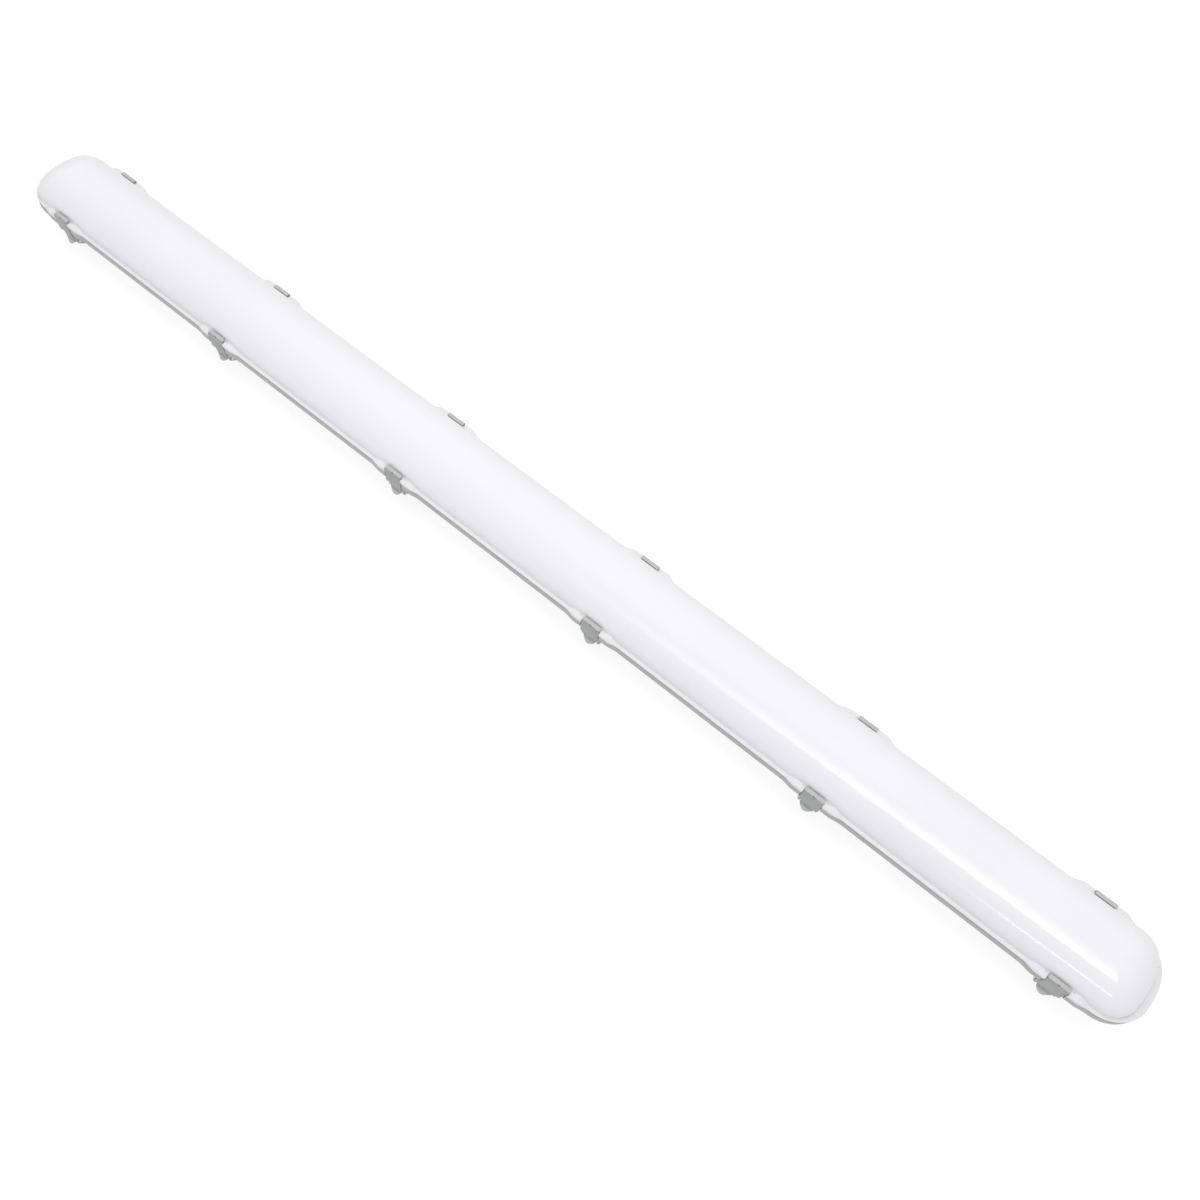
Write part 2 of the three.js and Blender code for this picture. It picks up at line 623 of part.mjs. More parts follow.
// Foam ring in the channel, under the lens's tongue
function gasket() {
  const outer = insetPlan(DOME_PLAN, GAP - CHANNEL_OUTSIDE);
  const inner = insetPlan(DOME_PLAN, LENS_WALL + CHANNEL_INSIDE - GAP);
  const low = CHANNEL_Z + GAP;
  const high = TONGUE_Z - GAP;
  return cut(prism(outer, low, high), prism(inner, low - OVERRUN, high + OVERRUN));
}

// Hook and face plate, seen along the fixture
function latchPlate() {
  const tipU = DOME_U + LIP_CLEAR;
  const corner = new THREE.Vector2(FACE_U - LIP_ROUND, LIP_TOP_Z - LIP_ROUND);
  const half = LATCH_WIDTH / 2;
  const plate = acrossProfile([
    new THREE.Vector2(tipU, LIP_Z),
    new THREE.Vector2(PLATE_U - LIP_FILLET, LIP_Z),
    new THREE.Vector2(PLATE_U, LIP_Z - LIP_FILLET),
    new THREE.Vector2(PLATE_U, PLATE_END_Z),
    new THREE.Vector2(FACE_U - PLATE_CHAMFER, PLATE_END_Z),
    new THREE.Vector2(FACE_U, PLATE_END_Z + PLATE_CHAMFER_HEIGHT),
    ...arc(corner, LIP_ROUND, 0, Math.PI / 2, FILLET_STEPS),
    new THREE.Vector2(tipU + LIP_BEVEL, LIP_TOP_Z),
  ], -half, half);
  const notchHalf = SCREWDRIVER_NOTCH / 2;
  const notch = block(
    [-notchHalf, FACE_U - SCREWDRIVER_NOTCH_DEPTH, LIP_TOP_Z - LIP_ROUND - SCREWDRIVER_NOTCH_DEPTH],
    [notchHalf, FACE_U + OVERRUN, LIP_TOP_Z + OVERRUN],
  );
  return cut(plate, notch);
}

// Web, knuckle and finger tab, cut to a half moon seen from the front
function latchTab() {
  const topZ = FLANGE_Z - GAP - LIP_FILLET;
  const inPlate = PLATE_U + LATCH_SHEET / 2;
  const tabU = FACE_U - TAB_SETBACK;
  const half = TAB_WIDTH / 2;
  const moonZ = PIVOT.y + TAB_RAISE;
  const tipZ = moonZ - half;
  const tipIn = new THREE.Vector2(tabU + TAB_FLARE - TAB_SHEET, tipZ);
  const webIn = new THREE.Vector2(tabU - WEB_SHEET, PLATE_END_Z);
  const start = tangentBearing(PIVOT, KNUCKLE_RADIUS, tipIn, -1);
  const stop = tangentBearing(PIVOT, KNUCKLE_RADIUS, webIn, 1);
  const side = acrossProfile([
    new THREE.Vector2(webIn.x, topZ),
    webIn,
    ...arc(PIVOT, KNUCKLE_RADIUS, stop, start, LOBE_STEPS),
    tipIn,
    new THREE.Vector2(tabU + TAB_FLARE, tipZ),
    new THREE.Vector2(tabU, PIVOT.y),
    new THREE.Vector2(tabU, PLATE_END_Z),
    new THREE.Vector2(inPlate, PLATE_END_Z + PLATE_CHAMFER),
    new THREE.Vector2(inPlate, topZ),
  ], -half, half);
  const moon = frontProfile([
    ...arc(new THREE.Vector2(0, moonZ), half, -Math.PI, 0, MOON_STEPS),
    new THREE.Vector2(half, topZ + OVERRUN),
    new THREE.Vector2(-half, topZ + OVERRUN),
  ], PIVOT.x - EAR_RADIUS - OVERRUN, FACE_U + OVERRUN);
  const bore = barAlongX(PIN_HOLE, -half - OVERRUN, half + OVERRUN, SMALL_ROUND_STEPS)
    .translate(0, PIVOT.x, PIVOT.y);
  return cut(overlap(side, moon), bore);
}

// Headed pin through the ears and the knuckle
function latchPin() {
  const reach = EAR_OUTSIDE + GAP;
  const end = reach + PIN_HEAD;
  const headRadius = PIN_RADIUS + PIN_HEAD_LIP;
  const half = [[PIN_RADIUS, reach], [headRadius, reach], [headRadius, end], [0, end]];
  const profile = [...half.toReversed().map(([radius, place]) => [radius, -place]), ...half];
  return turnedAlongX(profile, SMALL_ROUND_STEPS).translate(0, PIVOT.x, PIVOT.y);
}

// Folded sheet that carries the boards above and the driver below
function tray() {
  const low = TRAY_Z - TRAY_SIDE;
  const sheet = acrossProfile([
    new THREE.Vector2(-TRAY_U, low),
    new THREE.Vector2(TRAY_SHEET - TRAY_U, low),
    new THREE.Vector2(TRAY_SHEET - TRAY_U, TRAY_UNDER_Z),
    new THREE.Vector2(TRAY_U - TRAY_SHEET, TRAY_UNDER_Z),
    new THREE.Vector2(TRAY_U - TRAY_SHEET, low),
    new THREE.Vector2(TRAY_U, low),
    new THREE.Vector2(TRAY_U, TRAY_Z),
    new THREE.Vector2(-TRAY_U, TRAY_Z),
  ], -TRAY_X, TRAY_X);
  const hole = barAlongZ(SCREW_RADIUS + GAP, TRAY_UNDER_Z - OVERRUN, TRAY_Z + OVERRUN, SMALL_ROUND_STEPS);
  return cut(sheet, ...PILLAR_SITES.map((site) => moved(hole, ...site)));
}

// Pan head screw down through the tray into its pillar
function trayScrew() {
  const seat = TRAY_Z + GAP;
  const shank = turnedAlongZ([
    [0, HANG_Z - SCREW_DEPTH], [SCREW_RADIUS, HANG_Z - SCREW_DEPTH + SCREW_RADIUS], [SCREW_RADIUS, seat],
    [SCREW_HEAD_RADIUS, seat], [SCREW_HEAD_RADIUS, seat + SCREW_HEAD / 2],
    [SCREW_RADIUS, seat + SCREW_HEAD], [0, seat + SCREW_HEAD],
  ], SMALL_ROUND_STEPS);
  const slot = block(
    [-SCREW_HEAD_RADIUS - OVERRUN, -SCREW_SLOT / 2, seat + SCREW_HEAD - SCREW_SLOT],
    [SCREW_HEAD_RADIUS + OVERRUN, SCREW_SLOT / 2, seat + SCREW_HEAD + OVERRUN],
  );
  return cut(shank, slot);
}

// Light board with its chips in a row and a plug at each end
function lightBoard() {
  const length = (2 * (TRAY_X - BOARD_INSET) - (BOARDS - 1) * BOARD_GAP) / BOARDS;
  const low = TRAY_Z + GAP;
  const high = low + BOARD_THICKNESS;
  const middle = (low + high) / 2;
  const sheet = block([-length / 2, -BOARD_WIDTH / 2, low], [length / 2, BOARD_WIDTH / 2, high]);
  const count = Math.floor(length * CHIP_SPREAD_SHARE / CHIP_PITCH);
  const chip = block([-CHIP_LENGTH / 2, -CHIP_WIDTH / 2, middle],
    [CHIP_LENGTH / 2, CHIP_WIDTH / 2, high + CHIP_HEIGHT]);
  const chips = Array.from({ length: count + 1 }, (unused, step) => (
    moved(chip, (step - count / 2) * CHIP_PITCH, 0, 0)
  ));
  const plug = block([-PLUG_LENGTH / 2, -PLUG_WIDTH / 2, middle],
    [PLUG_LENGTH / 2, PLUG_WIDTH / 2, high + PLUG_HEIGHT]);
  const plugX = (length - PLUG_LENGTH) / 2 - GAP;
  const shape = join(sheet, ...chips, moved(plug, plugX, 0, 0), moved(plug, -plugX, 0, 0));
  return { shape, pitch: length + BOARD_GAP };
}

// Driver can with a slotted foot at each end and a groove round its lid
function driver() {
  const half = DRIVER_LENGTH / 2;
  const wide = DRIVER_WIDTH / 2;
  const low = HANG_Z - DRIVER_HEIGHT;
  const footEnd = half + DRIVER_FOOT;
  const can = block([-half, -wide, low], [half, wide, HANG_Z]);
  const foot = block([-footEnd, -wide, HANG_Z - DRIVER_FOOT_SHEET], [footEnd, wide, HANG_Z]);
  const slot = block([half + DRIVER_FOOT / 2, -DRIVER_SLOT / 2, low],
    [footEnd + OVERRUN, DRIVER_SLOT / 2, HANG_Z + OVERRUN]);
  const grooveZ = low + DRIVER_LID;
  const outer = block([-half - OVERRUN, -wide - OVERRUN, grooveZ],
    [half + OVERRUN, wide + OVERRUN, grooveZ + DRIVER_GROOVE]);
  const core = block([DRIVER_GROOVE - half, DRIVER_GROOVE - wide, low],
    [half - DRIVER_GROOVE, wide - DRIVER_GROOVE, HANG_Z]);
  return cut(join(can, foot), slot, slot.clone().rotateZ(Math.PI), cut(outer, core))
    .translate(DRIVER_PLACE, 0, 0);
}

// Places of the three supply wires across the terminal block
const WIRE_PLACES = [-POLE_PITCH, 0, POLE_PITCH];
const WIRE_Z = HANG_Z - TERMINAL_HEIGHT / 2;
const TERMINAL_X = FLANGE_X - TERMINAL_INSET;

// Terminal block with a wire hole at each end and a screw well for every pole
function terminalBlock() {
  const wide = POLE_PITCH * (WIRE_PLACES.length / 2);
  const long = TERMINAL_LENGTH / 2;
  const low = HANG_Z - TERMINAL_HEIGHT;
  const body = block([-long, -wide, low], [long, wide, HANG_Z]);
  const hole = barAlongX(POLE_HOLE / 2, long - POLE_HOLE_DEPTH, long + OVERRUN, SMALL_ROUND_STEPS)
    .translate(0, 0, WIRE_Z);
  const well = barAlongZ(SCREW_WELL / 2, low - OVERRUN, low + SCREW_WELL_DEPTH, SMALL_ROUND_STEPS)
    .translate(POLE_HOLE_DEPTH / 2, 0, 0);
  const cuts = WIRE_PLACES.flatMap((y) => (
    [hole, hole.clone().rotateZ(Math.PI), well].map((tool) => moved(tool, 0, y, 0))
  ));
  return cut(body, ...cuts).translate(TERMINAL_X, 0, 0);
}

// Wire from a pole of the terminal block to the driver's end face
function wire(y) {
  const mouth = TERMINAL_X - TERMINAL_LENGTH / 2;
  const driverEnd = DRIVER_PLACE + DRIVER_LENGTH / 2 + GAP;
  const start = new THREE.Vector3(mouth + POLE_HOLE_DEPTH - GAP, y, WIRE_Z);
  const end = new THREE.Vector3(driverEnd, y, WIRE_Z);
  const path = new THREE.CatmullRomCurve3([
    start,
    new THREE.Vector3(mouth - WIRE_STRAIGHT, y, WIRE_Z),
    start.clone().lerp(end, 1 / 2).setZ(WIRE_Z - WIRE_SAG),
    new THREE.Vector3(driverEnd + WIRE_STRAIGHT, y, WIRE_Z),
    end,
  ]);
  const round = arc(new THREE.Vector2(), WIRE_RADIUS, 0, 2 * Math.PI, WIRE_SIDES).slice(0, -1);
  return new THREE.ExtrudeGeometry(new THREE.Shape(round), { steps: WIRE_STEPS, extrudePath: path });
}

// Hexagonal bar along X, from the reach of its flats
const HEX_SIDES = 6;
const hexCorner = (flat) => flat / Math.cos(Math.PI / HEX_SIDES);
function hexBar(flat, from, to) {
  const corners = arc(new THREE.Vector2(), hexCorner(flat), 0, 2 * Math.PI, HEX_SIDES).slice(0, -1);
  return acrossProfile(corners, from, to);
}

const GLAND_SEAT_X = BOSS_X + GAP;
const GLAND_FLAT = ENTRY_RADIUS + GLAND_SHOULDER;
const COLLAR_X = GLAND_SEAT_X + GLAND_HEX_HEIGHT;
const COLLAR_END_X = COLLAR_X + GLAND_COLLAR;
const COLLAR_RADIUS = ENTRY_RADIUS - GLAND_STEP;
const GLAND_BORE = COLLAR_RADIUS - GLAND_WALL;

// Gland body: stem through the wall, hexagon against the boss and a collar for the nut
function glandBody() {
  const inside = BOSS_INSIDE_X - GLAND_STEM_INSIDE;
  const stem = barAlongX(ENTRY_RADIUS, inside, GLAND_SEAT_X + OVERRUN, ROUND_STEPS);
  const collar = barAlongX(COLLAR_RADIUS, GLAND_SEAT_X + OVERRUN, COLLAR_END_X, ROUND_STEPS);
  const bore = barAlongX(GLAND_BORE, inside - OVERRUN, COLLAR_END_X + OVERRUN, ROUND_STEPS);
  return cut(join(hexBar(GLAND_FLAT, GLAND_SEAT_X, COLLAR_X), stem, collar), bore).translate(0, 0, ENTRY_Z);
}

// Dome nut over the collar, round at the mouth
function glandNut() {
  const low = COLLAR_X + GAP;
  const high = low + NUT_HEIGHT;
  const corner = hexCorner(GLAND_FLAT);
  const round = turnedAlongX([
    [0, low], [corner, low], [corner, high - NUT_ROUND], [corner - NUT_ROUND, high], [0, high],
  ], ROUND_STEPS);
  const cavity = barAlongX(COLLAR_RADIUS + GAP, low - OVERRUN, COLLAR_END_X + GAP, ROUND_STEPS);
  const mouth = barAlongX(NUT_MOUTH, low, high + OVERRUN, ROUND_STEPS);
  return cut(overlap(hexBar(GLAND_FLAT, low, high), round), cavity, mouth).translate(0, 0, ENTRY_Z);
}

// Soft sleeve that grips the cable inside the collar
function glandSeal() {
  const low = COLLAR_END_X - SEAL_LENGTH;
  const radius = GLAND_BORE - GAP;
  const sleeve = barAlongX(radius, low, COLLAR_END_X, ROUND_STEPS);
  const bore = barAlongX(radius - SEAL_WALL, low - OVERRUN, COLLAR_END_X + OVERRUN, ROUND_STEPS);
  return cut(sleeve, bore).translate(0, 0, ENTRY_Z);
}

// Locknut on the gland's stem inside the housing
function glandLocknut() {
  const high = BOSS_INSIDE_X - GAP;
  const low = high - LOCKNUT_HEIGHT;
  const bore = barAlongX(ENTRY_RADIUS + GAP, low - OVERRUN, high + OVERRUN, ROUND_STEPS);
  return cut(hexBar(ENTRY_RADIUS + LOCKNUT_SHOULDER, low, high), bore).translate(0, 0, ENTRY_Z);
}

// Blanking plug in the other end, with a slot across its head
function blankingPlug() {
  const seat = GLAND_SEAT_X + RING_HEIGHT + GAP;
  const high = seat + PLUG_HEAD;
  const headRadius = ENTRY_RADIUS + PLUG_LIP;
  const stemEnd = BOSS_INSIDE_X - PLUG_STEM_INSIDE;
  const plug = turnedAlongX([
    [0, stemEnd], [ENTRY_RADIUS, stemEnd], [ENTRY_RADIUS, seat], [headRadius, seat],
    [headRadius, high - PLUG_ROUND], [headRadius - PLUG_ROUND, high], [0, high],
  ], ROUND_STEPS);
  const slot = block([high - PLUG_SLOT, -headRadius / 2, -PLUG_SLOT / 2],
    [high + OVERRUN, headRadius / 2, PLUG_SLOT / 2]);
  return cut(plug, slot).translate(0, 0, ENTRY_Z).rotateZ(Math.PI);
}

// Sealing ring under the blanking plug's head
function plugRing() {
  const high = GLAND_SEAT_X + RING_HEIGHT;
  const ring = barAlongX(ENTRY_RADIUS + PLUG_LIP - PLUG_ROUND, GLAND_SEAT_X, high, ROUND_STEPS);
  const bore = barAlongX(ENTRY_RADIUS + GAP, GLAND_SEAT_X - OVERRUN, high + OVERRUN, ROUND_STEPS);
  return cut(ring, bore).translate(0, 0, ENTRY_Z).rotateZ(Math.PI);
}

// Spring clip: flat base against the ceiling, arms up the housing's sides, ends hooked in
function bracket() {
  const play = GAP / Math.cos(Math.atan2(BODY_U - BACK_U, HOUSING_DEPTH));
  const hookZ = BRACKET_RISE - BRACKET_HOOK_HEIGHT;
  const inner = (z) => wallU(z) + play;
  const outer = (z) => inner(z) + BRACKET_SHEET;
  const hookU = wallU(hookZ) - BRACKET_HOOK;
  const arm = [
    new THREE.Vector2(outer(0) - BRACKET_SHEET / 2, 0),
    new THREE.Vector2(outer(0), BRACKET_SHEET / 2),
    new THREE.Vector2(outer(BRACKET_RISE), BRACKET_RISE),
    new THREE.Vector2(hookU, BRACKET_RISE),
    new THREE.Vector2(hookU, hookZ),
    new THREE.Vector2(inner(hookZ), hookZ),
    new THREE.Vector2(inner(BRACKET_SHEET), BRACKET_SHEET),
  ];
  const otherArm = arm.toReversed().map((point) => new THREE.Vector2(-point.x, point.y));
  const clip = acrossProfile([...arm, ...otherArm], -BRACKET_WIDTH / 2, BRACKET_WIDTH / 2);
  const slotEnd = (BRACKET_SLOT_LENGTH - BRACKET_SLOT_WIDTH) / 2;
  const slotRadius = BRACKET_SLOT_WIDTH / 2;
  const above = BRACKET_SHEET + OVERRUN;
  const end = barAlongZ(slotRadius, -OVERRUN, above, SMALL_ROUND_STEPS);
  const middle = block([-slotEnd, -slotRadius, -OVERRUN], [slotEnd, slotRadius, above]);
  return cut(clip, join(middle, moved(end, slotEnd, 0, 0), moved(end, -slotEnd, 0, 0)));
}

// Colours as red, green and blue shares, then roughness and metalness shares
const LOOK_SHARES = {
  opal: [0.94, 0.945, 0.955, 0.22, 0],
  grey: [0.62, 0.63, 0.63, 0.5, 0],
  latchGrey: [0.55, 0.57, 0.57, 0.42, 0],
  foam: [0.2, 0.2, 0.21, 0.9, 0],
  steel: [0.66, 0.66, 0.67, 0.32, 1],
  trayWhite: [0.9, 0.9, 0.9, 0.45, 0],
  board: [0.93, 0.94, 0.93, 0.4, 0],
  driverWhite: [0.86, 0.87, 0.87, 0.5, 0],
  terminal: [0.78, 0.8, 0.8, 0.45, 0],
  brown: [0.32, 0.18, 0.1, 0.5, 0],
  green: [0.35, 0.6, 0.2, 0.5, 0],
  blue: [0.12, 0.28, 0.62, 0.5, 0],
  glandGrey: [0.5, 0.51, 0.52, 0.55, 0],
  black: [0.08, 0.08, 0.08, 0.85, 0],
};

function look(name) {
  const [red, green, blue, roughness, metalness] = LOOK_SHARES[name];
  return new THREE.MeshStandardMaterial({ color: new THREE.Color(red, green, blue), roughness, metalness });
}

const fixture = new THREE.Group();
fixture.name = 'vapor_tight_light';

function addPiece(name, geometry, lookName) {
  const mesh = new THREE.Mesh(geometry, look(lookName));
  mesh.name = name;
  fixture.add(mesh);
}

addPiece('housing', housing(), 'grey');
addPiece('gasket', gasket(), 'foam');
addPiece('lens', lens(), 'opal');
addPiece('gear_tray', tray(), 'trayWhite');

const screw = trayScrew();
PILLAR_SITES.forEach((site, place) => addPiece(`tray_screw_${place + 1}`, moved(screw, ...site), 'steel'));

const board = lightBoard();
for (let place = 0; place < BOARDS; place += 1) {
  const x = (place - (BOARDS - 1) / 2) * board.pitch;
  addPiece(`light_board_${place + 1}`, moved(board.shape, x, 0, 0), 'board');
}

addPiece('driver', driver(), 'driverWhite');
addPiece('terminal_block', terminalBlock(), 'terminal');
['brown', 'green', 'blue'].forEach((tint, place) => addPiece(`wire_${tint}`, wire(WIRE_PLACES[place]), tint));

addPiece('gland_body', glandBody(), 'glandGrey');
addPiece('gland_nut', glandNut(), 'glandGrey');
addPiece('gland_seal', glandSeal(), 'black');
addPiece('gland_locknut', glandLocknut(), 'glandGrey');
addPiece('blanking_plug', blankingPlug(), 'glandGrey');
addPiece('plug_ring', plugRing(), 'black');

const clip = bracket();
BRACKET_SITES.forEach((x, place) => addPiece(`bracket_${place + 1}`, moved(clip, x, 0, 0), 'steel'));

const latch = join(latchPlate(), latchTab());
const pin = latchPin();
for (const { x, side, name } of LATCH_SITES) {
  addPiece(`latch_${name}`, placed(latch, x, side), 'latchGrey');
  addPiece(`pin_${name}`, placed(pin, x, side), 'steel');
}

export default fixture;
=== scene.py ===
from math import acos, asin, atan2, cos, hypot, pi, radians, sin, sqrt

import bmesh
import bpy
from mathutils import Matrix, Vector


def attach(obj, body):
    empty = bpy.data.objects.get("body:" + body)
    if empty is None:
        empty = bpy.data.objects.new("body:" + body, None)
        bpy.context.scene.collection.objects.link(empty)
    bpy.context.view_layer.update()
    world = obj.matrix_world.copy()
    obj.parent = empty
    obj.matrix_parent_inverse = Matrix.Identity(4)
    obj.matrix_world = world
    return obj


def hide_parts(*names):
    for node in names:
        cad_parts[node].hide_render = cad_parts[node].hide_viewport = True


# Looks of the vapor tight light fixture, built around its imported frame.
# Shapes are worked out in millimetres and become metres when a piece is finished.
# Across the fixture, u is the distance out from the centre plane, so both sides share one profile.
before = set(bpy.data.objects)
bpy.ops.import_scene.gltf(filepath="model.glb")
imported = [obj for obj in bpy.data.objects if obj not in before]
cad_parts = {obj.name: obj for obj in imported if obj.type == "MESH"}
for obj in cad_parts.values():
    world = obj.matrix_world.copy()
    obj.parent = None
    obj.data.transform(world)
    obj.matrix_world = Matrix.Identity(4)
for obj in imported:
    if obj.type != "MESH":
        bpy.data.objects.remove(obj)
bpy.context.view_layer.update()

# Play between pieces, reach of a cutter past what it cuts, and distance within which points merge
MM = 0.001
GAP, OVERRUN, WELD = 0.3, 1.0, 0.0005

# Flange seen from above
FLANGE_X, FLANGE_U = 783.0, 51.3
FLANGE_CORNER, FLANGE_BOW = 42.0, 110.0
FLANGE_PLAN = (FLANGE_X, FLANGE_U, FLANGE_CORNER, FLANGE_BOW)
EDGE_ROUND = 0.9

# Dome of the lens
SHELF_SIDE, SHELF_END = 3.9, 8.2
DOME_U, DOME_X = FLANGE_U - SHELF_SIDE, FLANGE_X - SHELF_END
DOME_CORNER, DOME_BOW = 28.0, 115.0
DOME_PLAN = (DOME_X, DOME_U, DOME_CORNER, DOME_BOW)
DOME_RISE, DOME_SHOULDER, DOME_CREST = 34.87, 23.0, 0.5
LENS_WALL, LENS_RIM, LENS_DRAFT = 2.2, 3.8, 0.4
TONGUE_DEPTH = 2.7
ROOT_FILLET = 1.6

# Levels up from the mounting face
BACK_Z, FLANGE_Z, CHANNEL_Z, PARTING_Z = 1.8, 46.0, 48.5, 54.2
LENS_Z = PARTING_Z + GAP
TONGUE_Z = LENS_Z - TONGUE_DEPTH
SHELF_Z = LENS_Z + LENS_RIM
PAD_RISE = 3.2
PAD_Z = SHELF_Z + PAD_RISE
LIP_Z = PAD_Z + GAP
LIP_TOP_Z = LIP_Z + 2.7
ENTRY_Z = 25.0

# Trough of the housing
HOUSING_WALL, END_DRAFT, BACK_FILLET = 2.5, 5.0, 3.0
WALL_X, BACK_U, BODY_U = 757.0, 27.5, 44.5
BACK_PLAN = (WALL_X - END_DRAFT, BACK_U, 16.0, FLANGE_BOW)
BODY_PLAN = (WALL_X, BODY_U, 30.0, FLANGE_BOW)
CHANNEL_INSIDE, CHANNEL_OUTSIDE, CHANNEL_LIP = 1.0, 1.8, 2.2

# Latches and the scallops around them
LATCH_PITCH = (FLANGE_X - 79.0) / 2.47
LATCH_STATIONS = [s * LATCH_PITCH for s in (-2.47, -1.5, -0.5, 0.5, 1.5, 2.47)]
SCALLOP_HALF, SCALLOP_RAMP = 36.0, 14.0
LENS_SWELL, HOUSING_SWELL, SKIRT_SHARE = 2.9, 1.9, 0.8
LATCH_WIDTH, LATCH_SHEET = 23.0, 2.2
LENS_SLOT, HOUSING_SLOT, NOTCH_EDGE = 0.6, 1.4, 0.02
NOTCH_U, NOTCH_SLOPE = FLANGE_U - 0.3, (1.5, 0.5)
PLATE_U = NOTCH_U + GAP
FACE_U = PLATE_U + LATCH_SHEET
LIP_REACH = 4.8
PLATE_END_Z = FLANGE_Z - 5.2
PIVOT = (FLANGE_U - 5.8, FLANGE_Z - 15.7)
TAB_WIDTH = 17.0
PIN_RADIUS = 1.3
EAR_INSIDE = TAB_WIDTH / 2 + 1.5 * GAP
EAR_OUTSIDE = EAR_INSIDE + 2.7

CORNER_STEPS, BOW_STEPS, RAMP_STEPS = 26, 10, 12
SHOULDER_STEPS, CROWN_STEPS = 32, 26


def swell_at(x):
    """Share of a scallop's full swell at a place along a side."""
    nearest = min(abs(x - station) for station in LATCH_STATIONS)
    share = min(max((SCALLOP_HALF - nearest) / SCALLOP_RAMP, 0.0), 1.0)
    return share * share * (3 - 2 * share)


def quarter_round(radius, steps):
    """Steps of a quarter round, each as its distances from the two faces that the round joins."""
    angles = [pi / 2 * k / steps for k in range(steps + 1)]
    return [(radius * (1 - cos(angle)), radius * (1 - sin(angle))) for angle in angles]


def arc(centre, radius, start, stop, steps):
    """Points of an arc, both ends included."""
    angles = [start + (stop - start) * k / steps for k in range(steps + 1)]
    return [(centre[0] + radius * cos(angle), centre[1] + radius * sin(angle)) for angle in angles]


def inset_plan(plan, inset):
    return tuple(value - inset for value in plan)


def side_stations(notch_half):
    """Places along a side where an outline needs points, each with its swell and whether it is in a notch."""
    ramp = [SCALLOP_HALF - SCALLOP_RAMP * k / RAMP_STEPS for k in range(RAMP_STEPS + 1)]
    notch = [(-notch_half - NOTCH_EDGE, False), (-notch_half, True), (notch_half, True),
             (notch_half + NOTCH_EDGE, False)]
    found = []
    for station in LATCH_STATIONS:
        found += [(station - reach, swell_at(station - reach), False) for reach in ramp]
        found += [(station + place, 1.0, notched) for place, notched in notch]
        found += [(station + reach, swell_at(station + reach), False) for reach in reversed(ramp)]
    return found


def plan_ring(plan, z, stations, side=None):
    """Outline seen from above, anticlockwise. side(swell, notched) gives u and z along the straight sides."""
    x, u, corner, bow = plan
    reach = sqrt((bow - corner) ** 2 - (u - corner) ** 2)
    hub = (x - bow + reach, u - corner)
    bow_angle = atan2(hub[1], reach)
    half = []
    for station, swell, notched in stations:
        place = min(max(station, -hub[0]), hub[0])
        side_u, side_z = side(swell, notched) if side else (u, z)
        half.append((place, -side_u, side_z))
    end = (arc((hub[0], -hub[1]), corner, -pi / 2, -bow_angle, CORNER_STEPS)
           + arc((x - bow, 0), bow, -bow_angle, bow_angle, BOW_STEPS)[1:-1]
           + arc(hub, corner, bow_angle, pi / 2, CORNER_STEPS))
    half += [(px, py, z) for px, py in end]
    return half + [(-px, -py, pz) for px, py, pz in half]


def across_cap(ring, low):
    """Faces across a ring whose two sides mirror each other, worked back from its tip in pairs."""
    count = len(ring)
    tip = max(range(count), key=lambda place: ring[place][0])
    faces = []
    for step in range(count // 2):
        corners = [(tip + offset) % count for offset in (-step, step, step + 1, -step - 1)]
        faces.append(tuple(place + low for k, place in enumerate(corners) if place not in corners[:k]))
    return faces


def band(count, low, high):
    """Faces between two rings of points, by the place of each ring's first point."""
    return [(low + k, low + (k + 1) % count, high + (k + 1) % count, high + k) for k in range(count)]


def add_object(name, data):
    made = bpy.data.objects.new(name, data)
    bpy.context.scene.collection.objects.link(made)
    return made


def solid(name, rings, faces):
    """Object in millimetres from rings of points and faces, with doubles merged and faces turned outwards."""
    mesh = bpy.data.meshes.new(name)
    mesh.from_pydata([tuple(point) for ring in rings for point in ring], [], faces)
    work = bmesh.new()
    work.from_mesh(mesh)
    bmesh.ops.remove_doubles(work, verts=work.verts, dist=WELD)
    bmesh.ops.dissolve_degenerate(work, edges=work.edges, dist=WELD)
    bmesh.ops.recalc_face_normals(work, faces=work.faces)
    work.to_mesh(mesh)
    work.free()
    return add_object(name, mesh)


def loft(name, rings):
    """Closed skin over rings of equal count, from the bottom or inside to the top or outside."""
    count = len(rings[0])
    faces = [tuple(reversed(face)) for face in across_cap(rings[0], 0)]
    for level in range(len(rings) - 1):
        faces += band(count, level * count, (level + 1) * count)
    return solid(name, rings, faces + across_cap(rings[-1], (len(rings) - 1) * count))


def wrapped(name, rings, closed=True):
    """Skin over rings of equal count. closed joins the last ring to the first."""
    count, faces = len(rings[0]), []
    for level in range(len(rings) if closed else len(rings) - 1):
        faces += band(count, level * count, (level + 1) % len(rings) * count)
    return solid(name, rings, faces)


def prism(name, low_ring, high_ring):
    """Closed skin between two outlines of equal count."""
    count = len(low_ring)
    caps = [tuple(reversed(range(count))), tuple(range(count, 2 * count))]
    return solid(name, [low_ring, high_ring], band(count, 0, count) + caps)


def bake(made):
    """Makes an object's modifiers part of its mesh."""
    old = made.data
    mesh = bpy.data.meshes.new_from_object(made.evaluated_get(bpy.context.evaluated_depsgraph_get()))
    made.modifiers.clear()
    made.data = mesh
    bpy.data.meshes.remove(old)
    return made


def remove(made):
    mesh = made.data
    bpy.data.objects.remove(made)
    if mesh.users == 0:
        bpy.data.meshes.remove(mesh)


def shape_with(made, tools, operation):
    """Joins, cuts or overlaps an object with others, which are used up."""
    for tool in tools:
        modifier = made.modifiers.new("shape", "BOOLEAN")
        modifier.operation, modifier.solver, modifier.object = operation, "MANIFOLD", tool
        bake(made)
        remove(tool)
    return made


